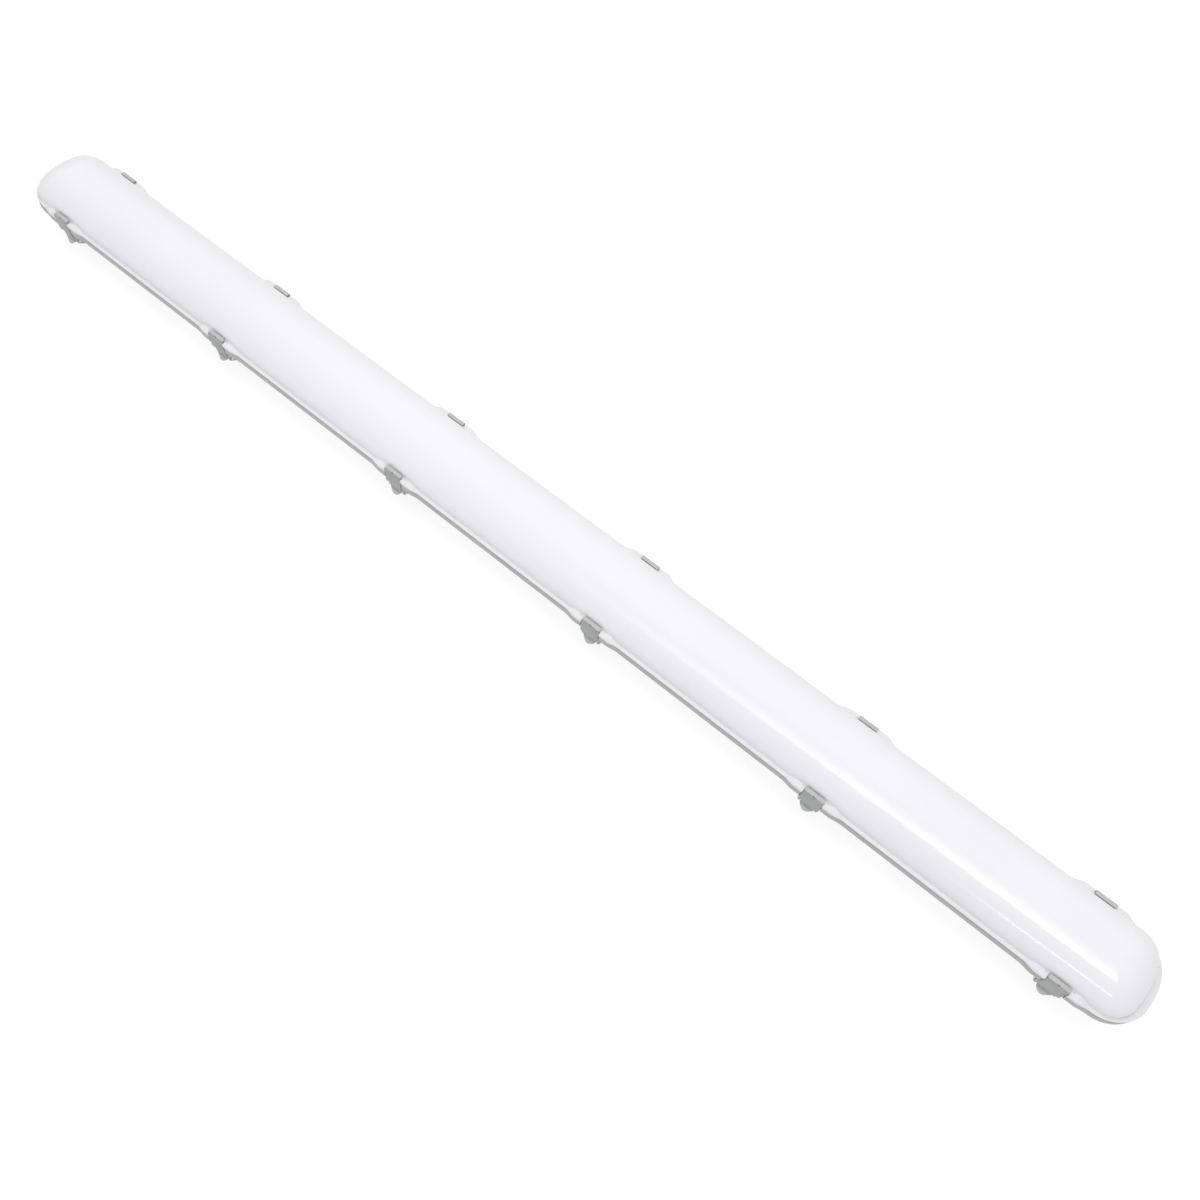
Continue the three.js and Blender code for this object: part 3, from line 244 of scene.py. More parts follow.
def cut(made, *tools):
    return shape_with(made, tools, "DIFFERENCE")


def join(made, *tools):
    return shape_with(made, tools, "UNION")


def bevel(made, width, segments=2, angle=radians(32)):
    modifier = made.modifiers.new("edges", "BEVEL")
    modifier.width, modifier.segments, modifier.angle_limit = width, segments, angle
    modifier.limit_method, modifier.miter_outer, modifier.use_clamp_overlap = "ANGLE", "MITER_ARC", True
    return bake(made)


def mirrored(points):
    """Outline's other half, worked back from where the first half ends."""
    return [(-u, z) for u, z in reversed(points)]


def across_profile(name, points, low, high):
    """Closed profile in u and z pushed along X."""
    return prism(name, *([(x, u, z) for u, z in points] for x in (low, high)))


def block(name, low, high):
    outline = [(low[1], low[2]), (high[1], low[2]), (high[1], high[2]), (low[1], high[2])]
    return across_profile(name, outline, low[0], high[0])


def slab(name, half_x, half_y, low, high, x=0.0, y=0.0):
    """Block about an upright line at x and y."""
    return block(name, (x - half_x, y - half_y, low), (x + half_x, y + half_y, high))


def turned(name, profile, axis, steps, centre=(0, 0, 0)):
    """Profile of radii and places turned about X or Z; it starts and ends on the axis or closes on itself."""
    rings = []
    for radius, place in profile:
        ring = []
        for k in range(steps):
            angle = 2 * pi * k / steps
            a, b = radius * cos(angle), radius * sin(angle)
            point = (place, a, b) if axis == "X" else (a, b, place)
            ring.append(tuple(p + c for p, c in zip(point, centre)))
        rings.append(ring)
    return wrapped(name, rings, closed=profile[0][0] > 0)


def bar(name, radius, low, high, axis, steps, centre=(0, 0, 0)):
    return turned(name, [(0, low), (radius, low), (radius, high), (0, high)], axis, steps, centre)


def rounded(corner_radius, profile_end, profile_start, steps=4):
    """Quarter round between two turned faces: radii and places from the side to the end."""
    radius, place = profile_end
    direction = 1 if place > profile_start else -1
    return [(radius - inwards, place - direction * back)
            for inwards, back in quarter_round(corner_radius, steps)]


SMOOTH_ANGLE = radians(31)


def finish_piece(made, material, slot, nodes=(), body="fixture"):
    """Brings a piece to metres, smooths its faces and lets it ride on its body."""
    made.data.transform(Matrix.Scale(MM, 4))
    made.data.materials.clear()
    made.data.materials.append(material)
    made.data.shade_smooth()
    made.data.set_sharp_from_angle(angle=SMOOTH_ANGLE)
    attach(made, body)
    if nodes:
        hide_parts(*nodes)


# Finishes
def node_group(name, kind, inputs, outputs):
    """Node group with its named inputs and outputs, the sockets of its entry and the node that it leaves by."""
    group = bpy.data.node_groups.new(name, kind)
    for socket, socket_type, *value in inputs:
        made = group.interface.new_socket(name=socket, in_out="INPUT", socket_type=f"NodeSocket{socket_type}")
        if value:
            made.default_value = value[0]
    for socket, socket_type in outputs:
        group.interface.new_socket(name=socket, in_out="OUTPUT", socket_type=f"NodeSocket{socket_type}")
    return group, group.nodes.new("NodeGroupInput").outputs, group.nodes.new("NodeGroupOutput")


def feed(tree, node, values):
    """Sets inputs of a node, each to a plain value or to the output of another node."""
    for socket, value in dict(values).items():
        if isinstance(value, bpy.types.NodeSocket):
            tree.links.new(value, node.inputs[socket])
        else:
            node.inputs[socket].default_value = value


def add_node(tree, kind, values=(), **settings):
    """Outputs of a new node with these inputs and settings."""
    made = tree.nodes.new(kind)
    for name, value in settings.items():
        setattr(made, name, value)
    feed(tree, made, values)
    return made.outputs


def noise_of(tree, coordinates, scale, detail):
    return add_node(tree, "ShaderNodeTexNoise", {
        "Vector": coordinates, "Scale": scale, "Detail": detail})["Fac"]


def mixed(tree, share, first, second, kind="RGBA"):
    return add_node(tree, "ShaderNodeMix", {"Factor": share, "A": first, "B": second}, data_type=kind)["Result"]


def worked_out(tree, operation, first, second):
    return add_node(tree, "ShaderNodeMath", {0: first, 1: second}, operation=operation)[0]


def ranged(tree, value, start=(0.0, 1.0), end=(0.0, 1.0), kind="SMOOTHSTEP"):
    """A value brought from one range to another."""
    return add_node(tree, "ShaderNodeMapRange", {
        "Value": value, "From Min": start[0], "From Max": start[1], "To Min": end[0], "To Max": end[1]},
        interpolation_type=kind)["Result"]


def build_tone_drift():
    """Slow drift between two tones of a finish, and of its gloss, as moulding and handling leave."""
    group, entry, leave = node_group("tone_drift", "ShaderNodeTree", [
        ("Tone", "Color"), ("Shade", "Color"), ("Patches per metre", "Float", 20.0),
        ("Gloss low", "Float", 0.3), ("Gloss high", "Float", 0.4)], [("Tone", "Color"), ("Roughness", "Float")])
    place = add_node(group, "ShaderNodeTexCoord")
    drift = noise_of(group, place["Object"], entry["Patches per metre"], 3.0)
    share = ranged(group, drift, (0.35, 0.65), kind="LINEAR")
    gloss = ranged(group, share, end=(entry["Gloss low"], entry["Gloss high"]), kind="LINEAR")
    feed(group, leave, {"Tone": mixed(group, share, entry["Tone"], entry["Shade"]), "Roughness": gloss})
    return group


def build_surface_grain():
    """Height of a fine grain over a slow waviness; the stretch draws both out along the fixture."""
    group, entry, leave = node_group("surface_grain", "ShaderNodeTree", [
        ("Grains per metre", "Float", 900.0), ("Waves per metre", "Float", 25.0), ("Wave share", "Float", 0.5),
        ("Stretch", "Vector", (1, 1, 1))], [("Height", "Float")])
    place = add_node(group, "ShaderNodeTexCoord")
    stretch = add_node(group, "ShaderNodeVectorMath", {0: place["Object"], 1: entry["Stretch"]},
                       operation="MULTIPLY")
    fine, slow = (noise_of(group, stretch["Vector"], entry[scale], 1.0)
                  for scale in ("Grains per metre", "Waves per metre"))
    feed(group, leave, {"Height": mixed(group, entry["Wave share"], fine, slow, "FLOAT")})
    return group


def build_painted_top_light():
    """Painted light and shade: another tone on the faces that look up, within a range of heights, with soft
    changes to both.
    """
    group, entry, leave = node_group("painted_top_tone", "ShaderNodeTree", [
        ("Tone", "Color"), ("Top tone", "Color"), ("From height", "Float", 0.0), ("To height", "Float", 1.0),
        ("From upright", "Float", 0.3), ("To upright", "Float", 0.9)], [("Tone", "Color")])
    place, shares = add_node(group, "ShaderNodeTexCoord"), []
    for source, measure in (("Object", "height"), ("Normal", "upright")):
        height = add_node(group, "ShaderNodeSeparateXYZ", {0: place[source]})["Z"]
        shares.append(ranged(group, height, (entry[f"From {measure}"], entry[f"To {measure}"])))
    both = worked_out(group, "MULTIPLY", *shares)
    feed(group, leave, {"Tone": mixed(group, both, entry["Tone"], entry["Top tone"])})
    return group


TONE_DRIFT = build_tone_drift()
PAINTED_TOP_LIGHT = build_painted_top_light()
SURFACE_GRAIN = build_surface_grain()
# How quickly the painted rim shade takes over as a face turns edge on
RIM_SHADE_POWER = 4.0


def finish(name, tone, shade, gloss, patches=20.0, grains=900.0, waves=25.0, wave_share=0.3,
           stretch=(1, 1, 1), depth=0.01, shader=(), painted_tops=(), rim=None):
    """Material of one finish. gloss is its lowest and highest roughness, depth its relief in millimetres.
    Each top layer is painted light and shade: a tone laid on faces that look up, for how light falls on them,
    with the heights in millimetres from and to which it sets in, and the shares of upright between which it
    does.
    The rim tone is painted shade on faces that are seen edge on."""
    material = bpy.data.materials.new(name)
    material.use_nodes = True
    tree = material.node_tree
    drift = add_node(tree, "ShaderNodeGroup", {
        "Tone": (*tone, 1), "Shade": (*shade, 1), "Patches per metre": patches,
        "Gloss low": gloss[0], "Gloss high": gloss[1]}, node_tree=TONE_DRIFT)
    shown = drift["Tone"]
    # Layers of painted light and shade, laid on the faces that look up
    for painted_top_tone, from_height, to_height, from_upright, to_upright in painted_tops:
        layer = add_node(tree, "ShaderNodeGroup", {
            "Tone": shown, "Top tone": (*painted_top_tone, 1), "From height": from_height * MM,
            "To height": to_height * MM, "From upright": from_upright, "To upright": to_upright},
            node_tree=PAINTED_TOP_LIGHT)
        shown = layer["Tone"]
    # Painted shade: faces seen edge on are darkened towards the rim tone
    if rim:
        edge_on = add_node(tree, "ShaderNodeLayerWeight", {"Blend": 0.5})
        share = worked_out(tree, "POWER", edge_on["Facing"], RIM_SHADE_POWER)
        shown = mixed(tree, share, shown, (*rim, 1))
    grain = add_node(tree, "ShaderNodeGroup", {
        "Grains per metre": grains, "Waves per metre": waves, "Wave share": wave_share, "Stretch": stretch},
        node_tree=SURFACE_GRAIN)
    relief = add_node(tree, "ShaderNodeBump", {
        "Strength": 1.0, "Distance": depth * MM, "Height": grain["Height"]})
    feed(tree, tree.nodes["Principled BSDF"], {
        "Base Color": shown, "Roughness": drift["Roughness"], "Normal": relief["Normal"],
        **dict(shader)})
    return material


# The lens's top layer is painted shade: a darker tone on its low faces that look up, the flange and the pads,
# standing in for light lost through them to the grey housing beneath. Its rim tone is painted shade on faces
# seen edge on.
OPAL = finish(
    "opal_polycarbonate", (0.873, 0.865, 0.905), (0.86, 0.852, 0.894), (0.12, 0.16), patches=6, grains=500,
    waves=30, wave_share=0.5, stretch=(0.25, 1, 1), depth=0.006,
    shader={"IOR": 1.42, "Coat Weight": 0.35, "Coat Roughness": 0.02},
    painted_tops=[((0.785, 0.778, 0.805), PAD_Z + 2.5, PAD_Z + 1.0, 0.25, 0.9)], rim=(0.42, 0.415, 0.43))
HOUSING_GREY = finish(
    "moulded_grey", (0.47, 0.475, 0.47), (0.445, 0.45, 0.445), (0.42, 0.52), grains=1300, depth=0.012)
# The latch's two top layers are painted light: a lighter tone on the lip's top face as a painted sheen, and on
# the outward slant of the half-moon tab, which catches more light.
LATCH_GREY = finish(
    "latch_grey", (0.36, 0.37, 0.37), (0.34, 0.35, 0.35), (0.36, 0.46), patches=60, grains=1500, depth=0.01,
    painted_tops=[((0.5, 0.505, 0.5), LIP_TOP_Z - 1.0, LIP_TOP_Z - 0.6, 0.7, 0.95),
          ((0.6, 0.605, 0.6), PIVOT[1] + 3.0, PIVOT[1] + 1.0, 0.1, 0.45)])
STEEL = finish(
    "stainless", (0.6, 0.6, 0.61), (0.54, 0.54, 0.55), (0.24, 0.36), patches=50, grains=2600, wave_share=0.1,
    stretch=(0.06, 1, 1), depth=0.004, shader={"Metallic": 1.0})
FOAM = finish(
    "gasket_foam", (0.045, 0.045, 0.048), (0.03, 0.03, 0.032), (0.8, 0.95), grains=1600, depth=0.08)
TRAY_WHITE = finish(
    "tray_white", (0.8, 0.8, 0.8), (0.77, 0.77, 0.77), (0.38, 0.48), grains=1400, depth=0.015)
BOARD_WHITE = finish(
    "board_white", (0.83, 0.84, 0.83), (0.8, 0.81, 0.8), (0.28, 0.36), grains=2200, depth=0.004)
DRIVER_WHITE = finish(
    "driver_white", (0.72, 0.73, 0.73), (0.69, 0.7, 0.7), (0.4, 0.5), grains=1500, depth=0.015)
TERMINAL_GREY = finish(
    "terminal_grey", (0.58, 0.6, 0.6), (0.55, 0.57, 0.57), (0.35, 0.45), grains=1800, depth=0.008)
WIRES = {tag: finish(f"wire_{tag}", tone, shade, (0.35, 0.45), depth=0.006) for tag, tone, shade in (
    ("brown", (0.085, 0.03, 0.012), (0.075, 0.026, 0.01)), ("green", (0.1, 0.32, 0.035), (0.09, 0.29, 0.03)),
    ("blue", (0.014, 0.06, 0.34), (0.012, 0.05, 0.3)))}
GLAND_GREY = finish(
    "gland_grey", (0.23, 0.235, 0.24), (0.21, 0.215, 0.22), (0.42, 0.55), patches=60, grains=1600, depth=0.012)
RUBBER = finish("black_rubber", (0.012, 0.012, 0.012), (0.018, 0.018, 0.018), (0.7, 0.85), depth=0.02)
PHOSPHOR = finish("lamp_phosphor", (0.72, 0.5, 0.06), (0.68, 0.46, 0.05), (0.4, 0.5), depth=0.004)


# Trees for what repeats or follows a path
def shape_tree(name, inputs):
    return node_group(name, "GeometryNodeTree", [*inputs, ("Finish", "Material")], [("Geometry", "Geometry")])


def close_tree(group, entry, leave, geometry):
    """Ends a tree in real pieces with their finish."""
    real = add_node(group, "GeometryNodeRealizeInstances", {"Geometry": geometry})
    coat = add_node(group, "GeometryNodeSetMaterial", {
        "Geometry": real["Geometry"], "Material": entry["Finish"]})
    feed(group, leave, {"Geometry": coat["Geometry"]})
    return group


def build_placing_tree():
    """A piece at every point of the sites, turned about Z by the site's own turn."""
    group, entry, leave = shape_tree("pieces_at_sites", [("Sites", "Geometry"), ("Piece", "Object")])
    piece = add_node(group, "GeometryNodeObjectInfo", {"Object": entry["Piece"]})
    turn = add_node(group, "GeometryNodeInputNamedAttribute", {"Name": "turn"}, data_type="FLOAT")
    spin = add_node(group, "ShaderNodeCombineXYZ", {"Z": turn["Attribute"]})
    put = add_node(group, "GeometryNodeInstanceOnPoints", {
        "Points": entry["Sites"], "Instance": piece["Geometry"], "Rotation": spin["Vector"]})
    return close_tree(group, entry, leave, put["Instances"])


def build_row_tree():
    """Row of small blocks along X from a first place, such as the lamps on a light board."""
    group, entry, leave = shape_tree("row_of_lamps", [
        ("Start", "Geometry"), ("Count", "Int", 12), ("First", "Vector"), ("Pitch", "Vector"),
        ("Size", "Vector")])
    line = add_node(group, "GeometryNodeMeshLine", {
        "Count": entry["Count"], "Start Location": entry["First"], "Offset": entry["Pitch"]})
    lamp = add_node(group, "GeometryNodeMeshCube", {"Size": entry["Size"]})
    put = add_node(group, "GeometryNodeInstanceOnPoints", {
        "Points": line["Mesh"], "Instance": lamp["Mesh"]})
    return close_tree(group, entry, leave, put["Instances"])


def build_wire_tree():
    """Round wire along the path that its object holds."""
    group, entry, leave = shape_tree("wire_on_path", [
        ("Path", "Geometry"), ("Radius", "Float", 1.2), ("Sides", "Int", 14)])
    route = add_node(group, "GeometryNodeMeshToCurve", {"Mesh": entry["Path"]})
    section = add_node(group, "GeometryNodeCurvePrimitiveCircle", {
        "Radius": entry["Radius"], "Resolution": entry["Sides"]})
    sweep = add_node(group, "GeometryNodeCurveToMesh", {
        "Curve": route["Curve"], "Profile Curve": section["Curve"], "Fill Caps": True})
    return close_tree(group, entry, leave, sweep["Mesh"])


PLACING_TREE = build_placing_tree()
ROW_TREE = build_row_tree()
WIRE_TREE = build_wire_tree()


def grown(name, tree, points=((0, 0, 0),), edges=(), turns=None, **inputs):
    """Object whose mesh a tree makes from points and edges, with the tree's inputs by name."""
    mesh = bpy.data.meshes.new(name)
    mesh.from_pydata(points, edges, [])
    if turns:
        mesh.attributes.new("turn", "FLOAT", "POINT").data.foreach_set("value", turns)
    made = add_object(name, mesh)
    modifier = made.modifiers.new("tree", "NODES")
    modifier.node_group = tree
    sockets = {item.name: item.identifier for item in tree.interface.items_tree if item.in_out == "INPUT"}
    for socket, value in inputs.items():
        modifier[sockets[socket]] = value
    return bake(made)


def at_sites(name, piece, sites, keep=False):
    """A piece copied to sites of x, y, z and turn. The piece itself is used up unless it is to be kept."""
    made = grown(name, PLACING_TREE, [site[:3] for site in sites], turns=[site[3] for site in sites],
                 Piece=piece)
    made.data.attributes.remove(made.data.attributes["turn"])
    if not keep:
        remove(piece)
    return made


SIDES = (("near", pi), ("far", 0.0))
LATCH_SITES = [(x, 0, 0, turn) for _, turn in SIDES for x in LATCH_STATIONS]
LATCH_NAMES = [f"{tag}_{k + 1}" for tag, _ in SIDES for k in range(len(LATCH_STATIONS))]


# Lens
def shoulder_u(height):
    """How far out the dome's wall is at a height over its root, near the root."""
    return DOME_U - DOME_SHOULDER + sqrt(DOME_SHOULDER ** 2 - height ** 2)


def dome_section(inset, shoulder_steps, crown_steps, lowest=0.0):
    """Half section of the dome from a height over its root to the crest, in u and height."""
    width, rise, shoulder = DOME_U - inset, DOME_RISE - inset, DOME_SHOULDER - inset
    crown = ((width - shoulder) ** 2 + rise ** 2 - shoulder ** 2) / (2 * (rise - shoulder))
    meet = atan2(crown - rise, width - shoulder)
    crest = acos(DOME_CREST / crown)
    start = asin(lowest / shoulder)
    return (arc((width - shoulder, 0), shoulder, start, meet, shoulder_steps)
            + arc((0, rise - crown), crown, meet, crest, crown_steps)[1:])


def dome_plan(root, u):
    share = u / root[1]
    return (root[0] - root[1] + u, u, root[2] * share, root[3] * share)


def ring_stack(slot):
    """Rings of a flanged part, and the function that adds one. slot is the part's play at a latch."""
    stations, rings = side_stations(LATCH_WIDTH / 2 + slot), []

    def add(plan, z, side=None):
        rings.append(plan_ring(plan, z, stations, side))
    return rings, add


def flange_side(inset, z, most):
    """Side of a flange's ring, which swells out by most at a latch but stands back in its notch."""
    def side(swell, notched):
        u = FLANGE_U - inset + most * swell
        return (min(u, NOTCH_U), z) if notched else (u, z)
    return side


def build_lens():
    rings, add = ring_stack(LENS_SLOT)
    inner_root = inset_plan(DOME_PLAN, LENS_WALL)
    for u, height in reversed(dome_section(LENS_WALL, 5, 9)):
        add(dome_plan(inner_root, u), SHELF_Z + height)
    soft = 0.35
    add(inner_root, TONGUE_Z + soft)
    add(inset_plan(inner_root, -soft), TONGUE_Z)
    add(inset_plan(DOME_PLAN, soft), TONGUE_Z)
    add(DOME_PLAN, TONGUE_Z + soft)
    add(DOME_PLAN, LENS_Z)

    for inset, z in ((LENS_DRAFT + soft, LENS_Z), (LENS_DRAFT, LENS_Z + soft)):
        add(inset_plan(FLANGE_PLAN, inset), z, flange_side(inset, z, LENS_SWELL * SKIRT_SHARE))

    # Rounded top edge; in a notch it is the slope that the turning hook clears
    edge_steps = 5
    for k, (inset, drop) in enumerate(quarter_round(EDGE_ROUND, edge_steps)):
        def edge(swell, notched):
            if notched:
                share = k / edge_steps
                return NOTCH_U - NOTCH_SLOPE[0] * share, PAD_Z - NOTCH_SLOPE[1] * (1 - share)
            return FLANGE_U - inset + LENS_SWELL * swell, SHELF_Z - drop + PAD_RISE * swell
        add(inset_plan(FLANGE_PLAN, inset), SHELF_Z - drop, edge)

    for up, out in quarter_round(ROOT_FILLET, 5):
        def fillet(swell, notched):
            rise = PAD_RISE * swell
            return shoulder_u(rise + up) + out, SHELF_Z + rise + up
        add(inset_plan(DOME_PLAN, DOME_U - shoulder_u(up) - out), SHELF_Z + up, fillet)

    section, pad_section = (dome_section(0, SHOULDER_STEPS, CROWN_STEPS, low)
                            for low in (ROOT_FILLET, ROOT_FILLET + PAD_RISE))
    for k in range(1, len(section)):
        u, height = section[k]

        def wall(swell, notched):
            if k >= SHOULDER_STEPS:
                return u, SHELF_Z + height
            lifted = height + (pad_section[k][1] - height) * swell
            return shoulder_u(lifted), SHELF_Z + lifted
        add(dome_plan(DOME_PLAN, u), SHELF_Z + height, wall)
    lens = loft("lens_opal", rings)

    slit_end, slit_u = LATCH_WIDTH / 2 + 5.5, FACE_U - LIP_REACH
    slit = block("slit", (-slit_end, slit_u - 0.5, PAD_Z - 0.6), (slit_end, slit_u, PAD_Z + 2.0))
    return cut(lens, at_sites("slits", slit, LATCH_SITES))


# Housing
def wall_u(z):
    return BACK_U + (BODY_U - BACK_U) * (z - BACK_Z) / (FLANGE_Z - BACK_Z)


def tangent_bearing(centre, radius, outside, side):
    away = (outside[0] - centre[0], outside[1] - centre[1])
    return atan2(away[1], away[0]) % (2 * pi) + side * acos(radius / hypot(*away))


def build_pin_bore(half):
    return bar("pin_bore", PIN_RADIUS + GAP, -half - OVERRUN, half + OVERRUN, "X", 20, (0, *PIVOT))


def build_ear(inside, outside):
    """Ear that carries one end of a latch pin, hung under the flange and footed on the wall."""
    sunk, radius = HOUSING_WALL / 2, 4.0
    top, foot_z = FLANGE_Z + sunk, PIVOT[1] - 13.3
    brow, foot = (NOTCH_U - 1.0, top), (wall_u(foot_z) - sunk, foot_z)
    start = tangent_bearing(PIVOT, radius, brow, -1)
    stop = tangent_bearing(PIVOT, radius, foot, 1) - 2 * pi
    outline = [(wall_u(top) - sunk, top), brow, *arc(PIVOT, radius, start, stop, 14), foot]
    return bevel(across_profile("ear", outline, inside, outside), 0.35)


def build_housing():
    rings, add = ring_stack(HOUSING_SLOT)
    for x, z in arc((BACK_FILLET, BACK_FILLET), BACK_FILLET, -pi / 2, -pi, 6):
        add(inset_plan(BACK_PLAN, x), BACK_Z + z)
    under = 1.2
    share = 1 - under / (FLANGE_Z - BACK_Z)
    add(tuple(low + (high - low) * share for low, high in zip(BACK_PLAN, BODY_PLAN)), FLANGE_Z - under)
    add(inset_plan(BODY_PLAN, -under * 0.3), FLANGE_Z - under * 0.25)
    add(inset_plan(BODY_PLAN, -under), FLANGE_Z)

    rim = [(inset, FLANGE_Z + up) for up, inset in quarter_round(EDGE_ROUND, 4)]
    rim += [(inset, PARTING_Z - down) for inset, down in quarter_round(0.45, 3)]
    for inset, z in rim:
        add(inset_plan(FLANGE_PLAN, inset), z, flange_side(inset, z, HOUSING_SWELL))

    channel_u, lip_u = LENS_WALL + CHANNEL_INSIDE, LENS_WALL + CHANNEL_INSIDE + CHANNEL_LIP
    for inset, z in ((-CHANNEL_OUTSIDE, PARTING_Z), (-CHANNEL_OUTSIDE, CHANNEL_Z), (channel_u, CHANNEL_Z),
                     (channel_u, PARTING_Z), (lip_u, PARTING_Z), (lip_u, FLANGE_Z + HOUSING_WALL)):
        add(inset_plan(DOME_PLAN, inset), z)
    add(inset_plan(BODY_PLAN, HOUSING_WALL), FLANGE_Z)
    add(inset_plan(BACK_PLAN, HOUSING_WALL), BACK_Z + HOUSING_WALL)
    shell = loft("housing_shell", rings)

    ears = [at_sites("ears", build_ear(low, low + EAR_OUTSIDE - EAR_INSIDE), LATCH_SITES)
            for low in (EAR_INSIDE, -EAR_OUTSIDE)]
    boss_profile = [(0, BOSS_INSIDE_X), (BOSS_RADIUS, BOSS_INSIDE_X),
                    *rounded(0.6, (BOSS_RADIUS, BOSS_X), BOSS_INSIDE_X), (0, BOSS_X)]
    bosses = [turned("boss", [(r, side * x) for r, x in boss_profile], "X", 48, GLAND_MIDDLE)
              for side in (1, -1)]
    pillar = bar("pillar", PILLAR_RADIUS, BACK_Z + HOUSING_WALL / 2, HANG_Z, "Z", 24)
    pillars = at_sites("pillars", pillar, PILLAR_SITES)
    ribs = at_sites("floor_ribs", build_rib(), [(share * TRAY_X, 0, 0, 0) for share in RIB_SHARES])
    pads = at_sites("pocket_pads", build_pocket_pad(), POCKET_SITES)
    join(shell, *ears, *bosses, pillars, ribs, pads)

    bore = bar("bore", ENTRY_RADIUS + GAP, -FLANGE_X, FLANGE_X, "X", 48, GLAND_MIDDLE)
    pin_bores = at_sites("pin_bores", build_pin_bore(EAR_OUTSIDE), LATCH_SITES)
    pockets = at_sites("pockets", build_pocket(), POCKET_SITES)
    holes = at_sites("screw_holes", bar("hole", SCREW_HOLE, *SCREW_HOLE_Z, "Z", 16), PILLAR_SITES)
    return cut(shell, bore, pin_bores, pockets, holes)


TRAY_X, TRAY_U, TRAY_Z = 730.5, 36.55, 49.0
PILLAR_U, PILLAR_RADIUS = TRAY_U - 11.5, 4.2
SCREW_HOLE, SCREW_HOLE_Z = 1.6, (38.4, 48.7)
HANG_Z = TRAY_Z - 1.3
PILLAR_SITES = [(share * TRAY_X, side * PILLAR_U, 0, 0)
                for share, side in ((-0.8, 1), (-0.3, -1), (0.3, 1), (0.8, -1))]
RIB_SHARES, RIB_HALF, RIB_RISE = (-0.9, -0.7, -0.5, -0.1, 0.1, 0.5, 0.7, 0.9), 1, 8.0
BRACKET_X = LATCH_STATIONS[-2] + 82.5
BRACKET_WIDTH, BRACKET_RISE, BRACKET_HOOK, BRACKET_SHEET = 28.0, 18.5, 1.1, 1.5
HOOK_Z = BRACKET_RISE - 2.2
POCKET_SITES = [(x, 0, 0, turn) for x in (-BRACKET_X, BRACKET_X) for _, turn in SIDES]


def build_rib():
    low, high, sunk = BACK_Z + HOUSING_WALL / 2, BACK_Z + HOUSING_WALL + RIB_RISE, HOUSING_WALL / 2
    low_u, high_u = wall_u(low) - sunk - BACK_FILLET, wall_u(high) - sunk
    outline = [(-low_u, low), (low_u, low), (high_u, high), (-high_u, high)]
    return across_profile("rib", outline, -RIB_HALF, RIB_HALF)


def build_pocket():
    high, low = BRACKET_RISE + GAP, HOOK_Z - GAP
    inner = wall_u(low) - BRACKET_HOOK - GAP
    outline = [(inner, low), (wall_u(low) + OVERRUN, low), (wall_u(high) + OVERRUN, high), (inner, high)]
    half = BRACKET_WIDTH / 2 + GAP
    return across_profile("pocket", outline, -half, half)


def build_pocket_pad():
    low, high = BACK_Z + HOUSING_WALL / 2, BRACKET_RISE + HOUSING_WALL
    inner = BRACKET_HOOK + GAP + HOUSING_WALL
    outline = [(wall_u(low) - inner, low), (wall_u(low) - BACK_FILLET, low),
               (wall_u(high) - HOUSING_WALL / 2, high), (wall_u(high) - inner, high)]
    half = BRACKET_WIDTH / 2 + HOUSING_WALL
    return across_profile("pocket_pad", outline, -half, half)


# Latch
def build_latch():
    """Latch on the +Y side at x 0: hook and face plate, web, knuckle and half-moon tab."""
    tip, lip_round = FACE_U - LIP_REACH, 1.6
    plate = across_profile("plate", [
        (tip + 0.8, LIP_Z), (PLATE_U - 0.5, LIP_Z), (PLATE_U, LIP_Z - 0.5), (PLATE_U, PLATE_END_Z),
        (FACE_U - 0.4, PLATE_END_Z), (FACE_U, PLATE_END_Z + 1.2),
        *arc((FACE_U - lip_round, LIP_TOP_Z - lip_round), lip_round, 0, pi / 2, 6),
        (tip - 0.5, LIP_TOP_Z), (tip + 0.1, LIP_Z + 0.8),
    ], -LATCH_WIDTH / 2, LATCH_WIDTH / 2)
    bevel(plate, 0.3)
    groove, groove_depth = 1.4, 1.0
    notch = block("notch", (-groove, FACE_U - groove_depth, LIP_TOP_Z - lip_round - 0.3),
                  (groove, FACE_U + OVERRUN, LIP_TOP_Z + OVERRUN))
    cut(plate, notch)

    top, in_plate, tab_u = FLANGE_Z - GAP - 0.5, PLATE_U + LATCH_SHEET / 2, FACE_U - 3.3
    half, moon_z, knuckle = TAB_WIDTH / 2, PIVOT[1] + 2.3, 3.7
    tip_z = moon_z - half
    flare, flare_angle = 8.0, radians(55)
    flare_z = tip_z + flare * sin(flare_angle)
    outside = arc((tab_u + flare, flare_z), flare, pi, pi + flare_angle, 8)
    tip_in, web_in = (outside[-1][0] - 1.6, tip_z), (tab_u - 1.5, PLATE_END_Z)
    start = tangent_bearing(PIVOT, knuckle, tip_in, -1)
    stop = tangent_bearing(PIVOT, knuckle, web_in, 1)
    start -= 2 * pi * ((start - stop) // (2 * pi))
    side = across_profile("tab", [
        (web_in[0], top), web_in, *arc(PIVOT, knuckle, stop, start, 16), tip_in,
        *reversed(outside), (tab_u, PLATE_END_Z), (in_plate, PLATE_END_Z + 0.4), (in_plate, top),
    ], -half, half)
    outline = [*arc((0, moon_z), half, -pi, 0, 40), (half, top + OVERRUN), (-half, top + OVERRUN)]
    moon = prism("moon", *([(x, u, z) for x, z in outline] for u in (PIVOT[0] - 5, FACE_U + OVERRUN)))
    shape_with(side, [moon], "INTERSECT")
    bevel(side, 0.3, angle=radians(40))
    join(plate, side)
    return cut(plate, build_pin_bore(half))


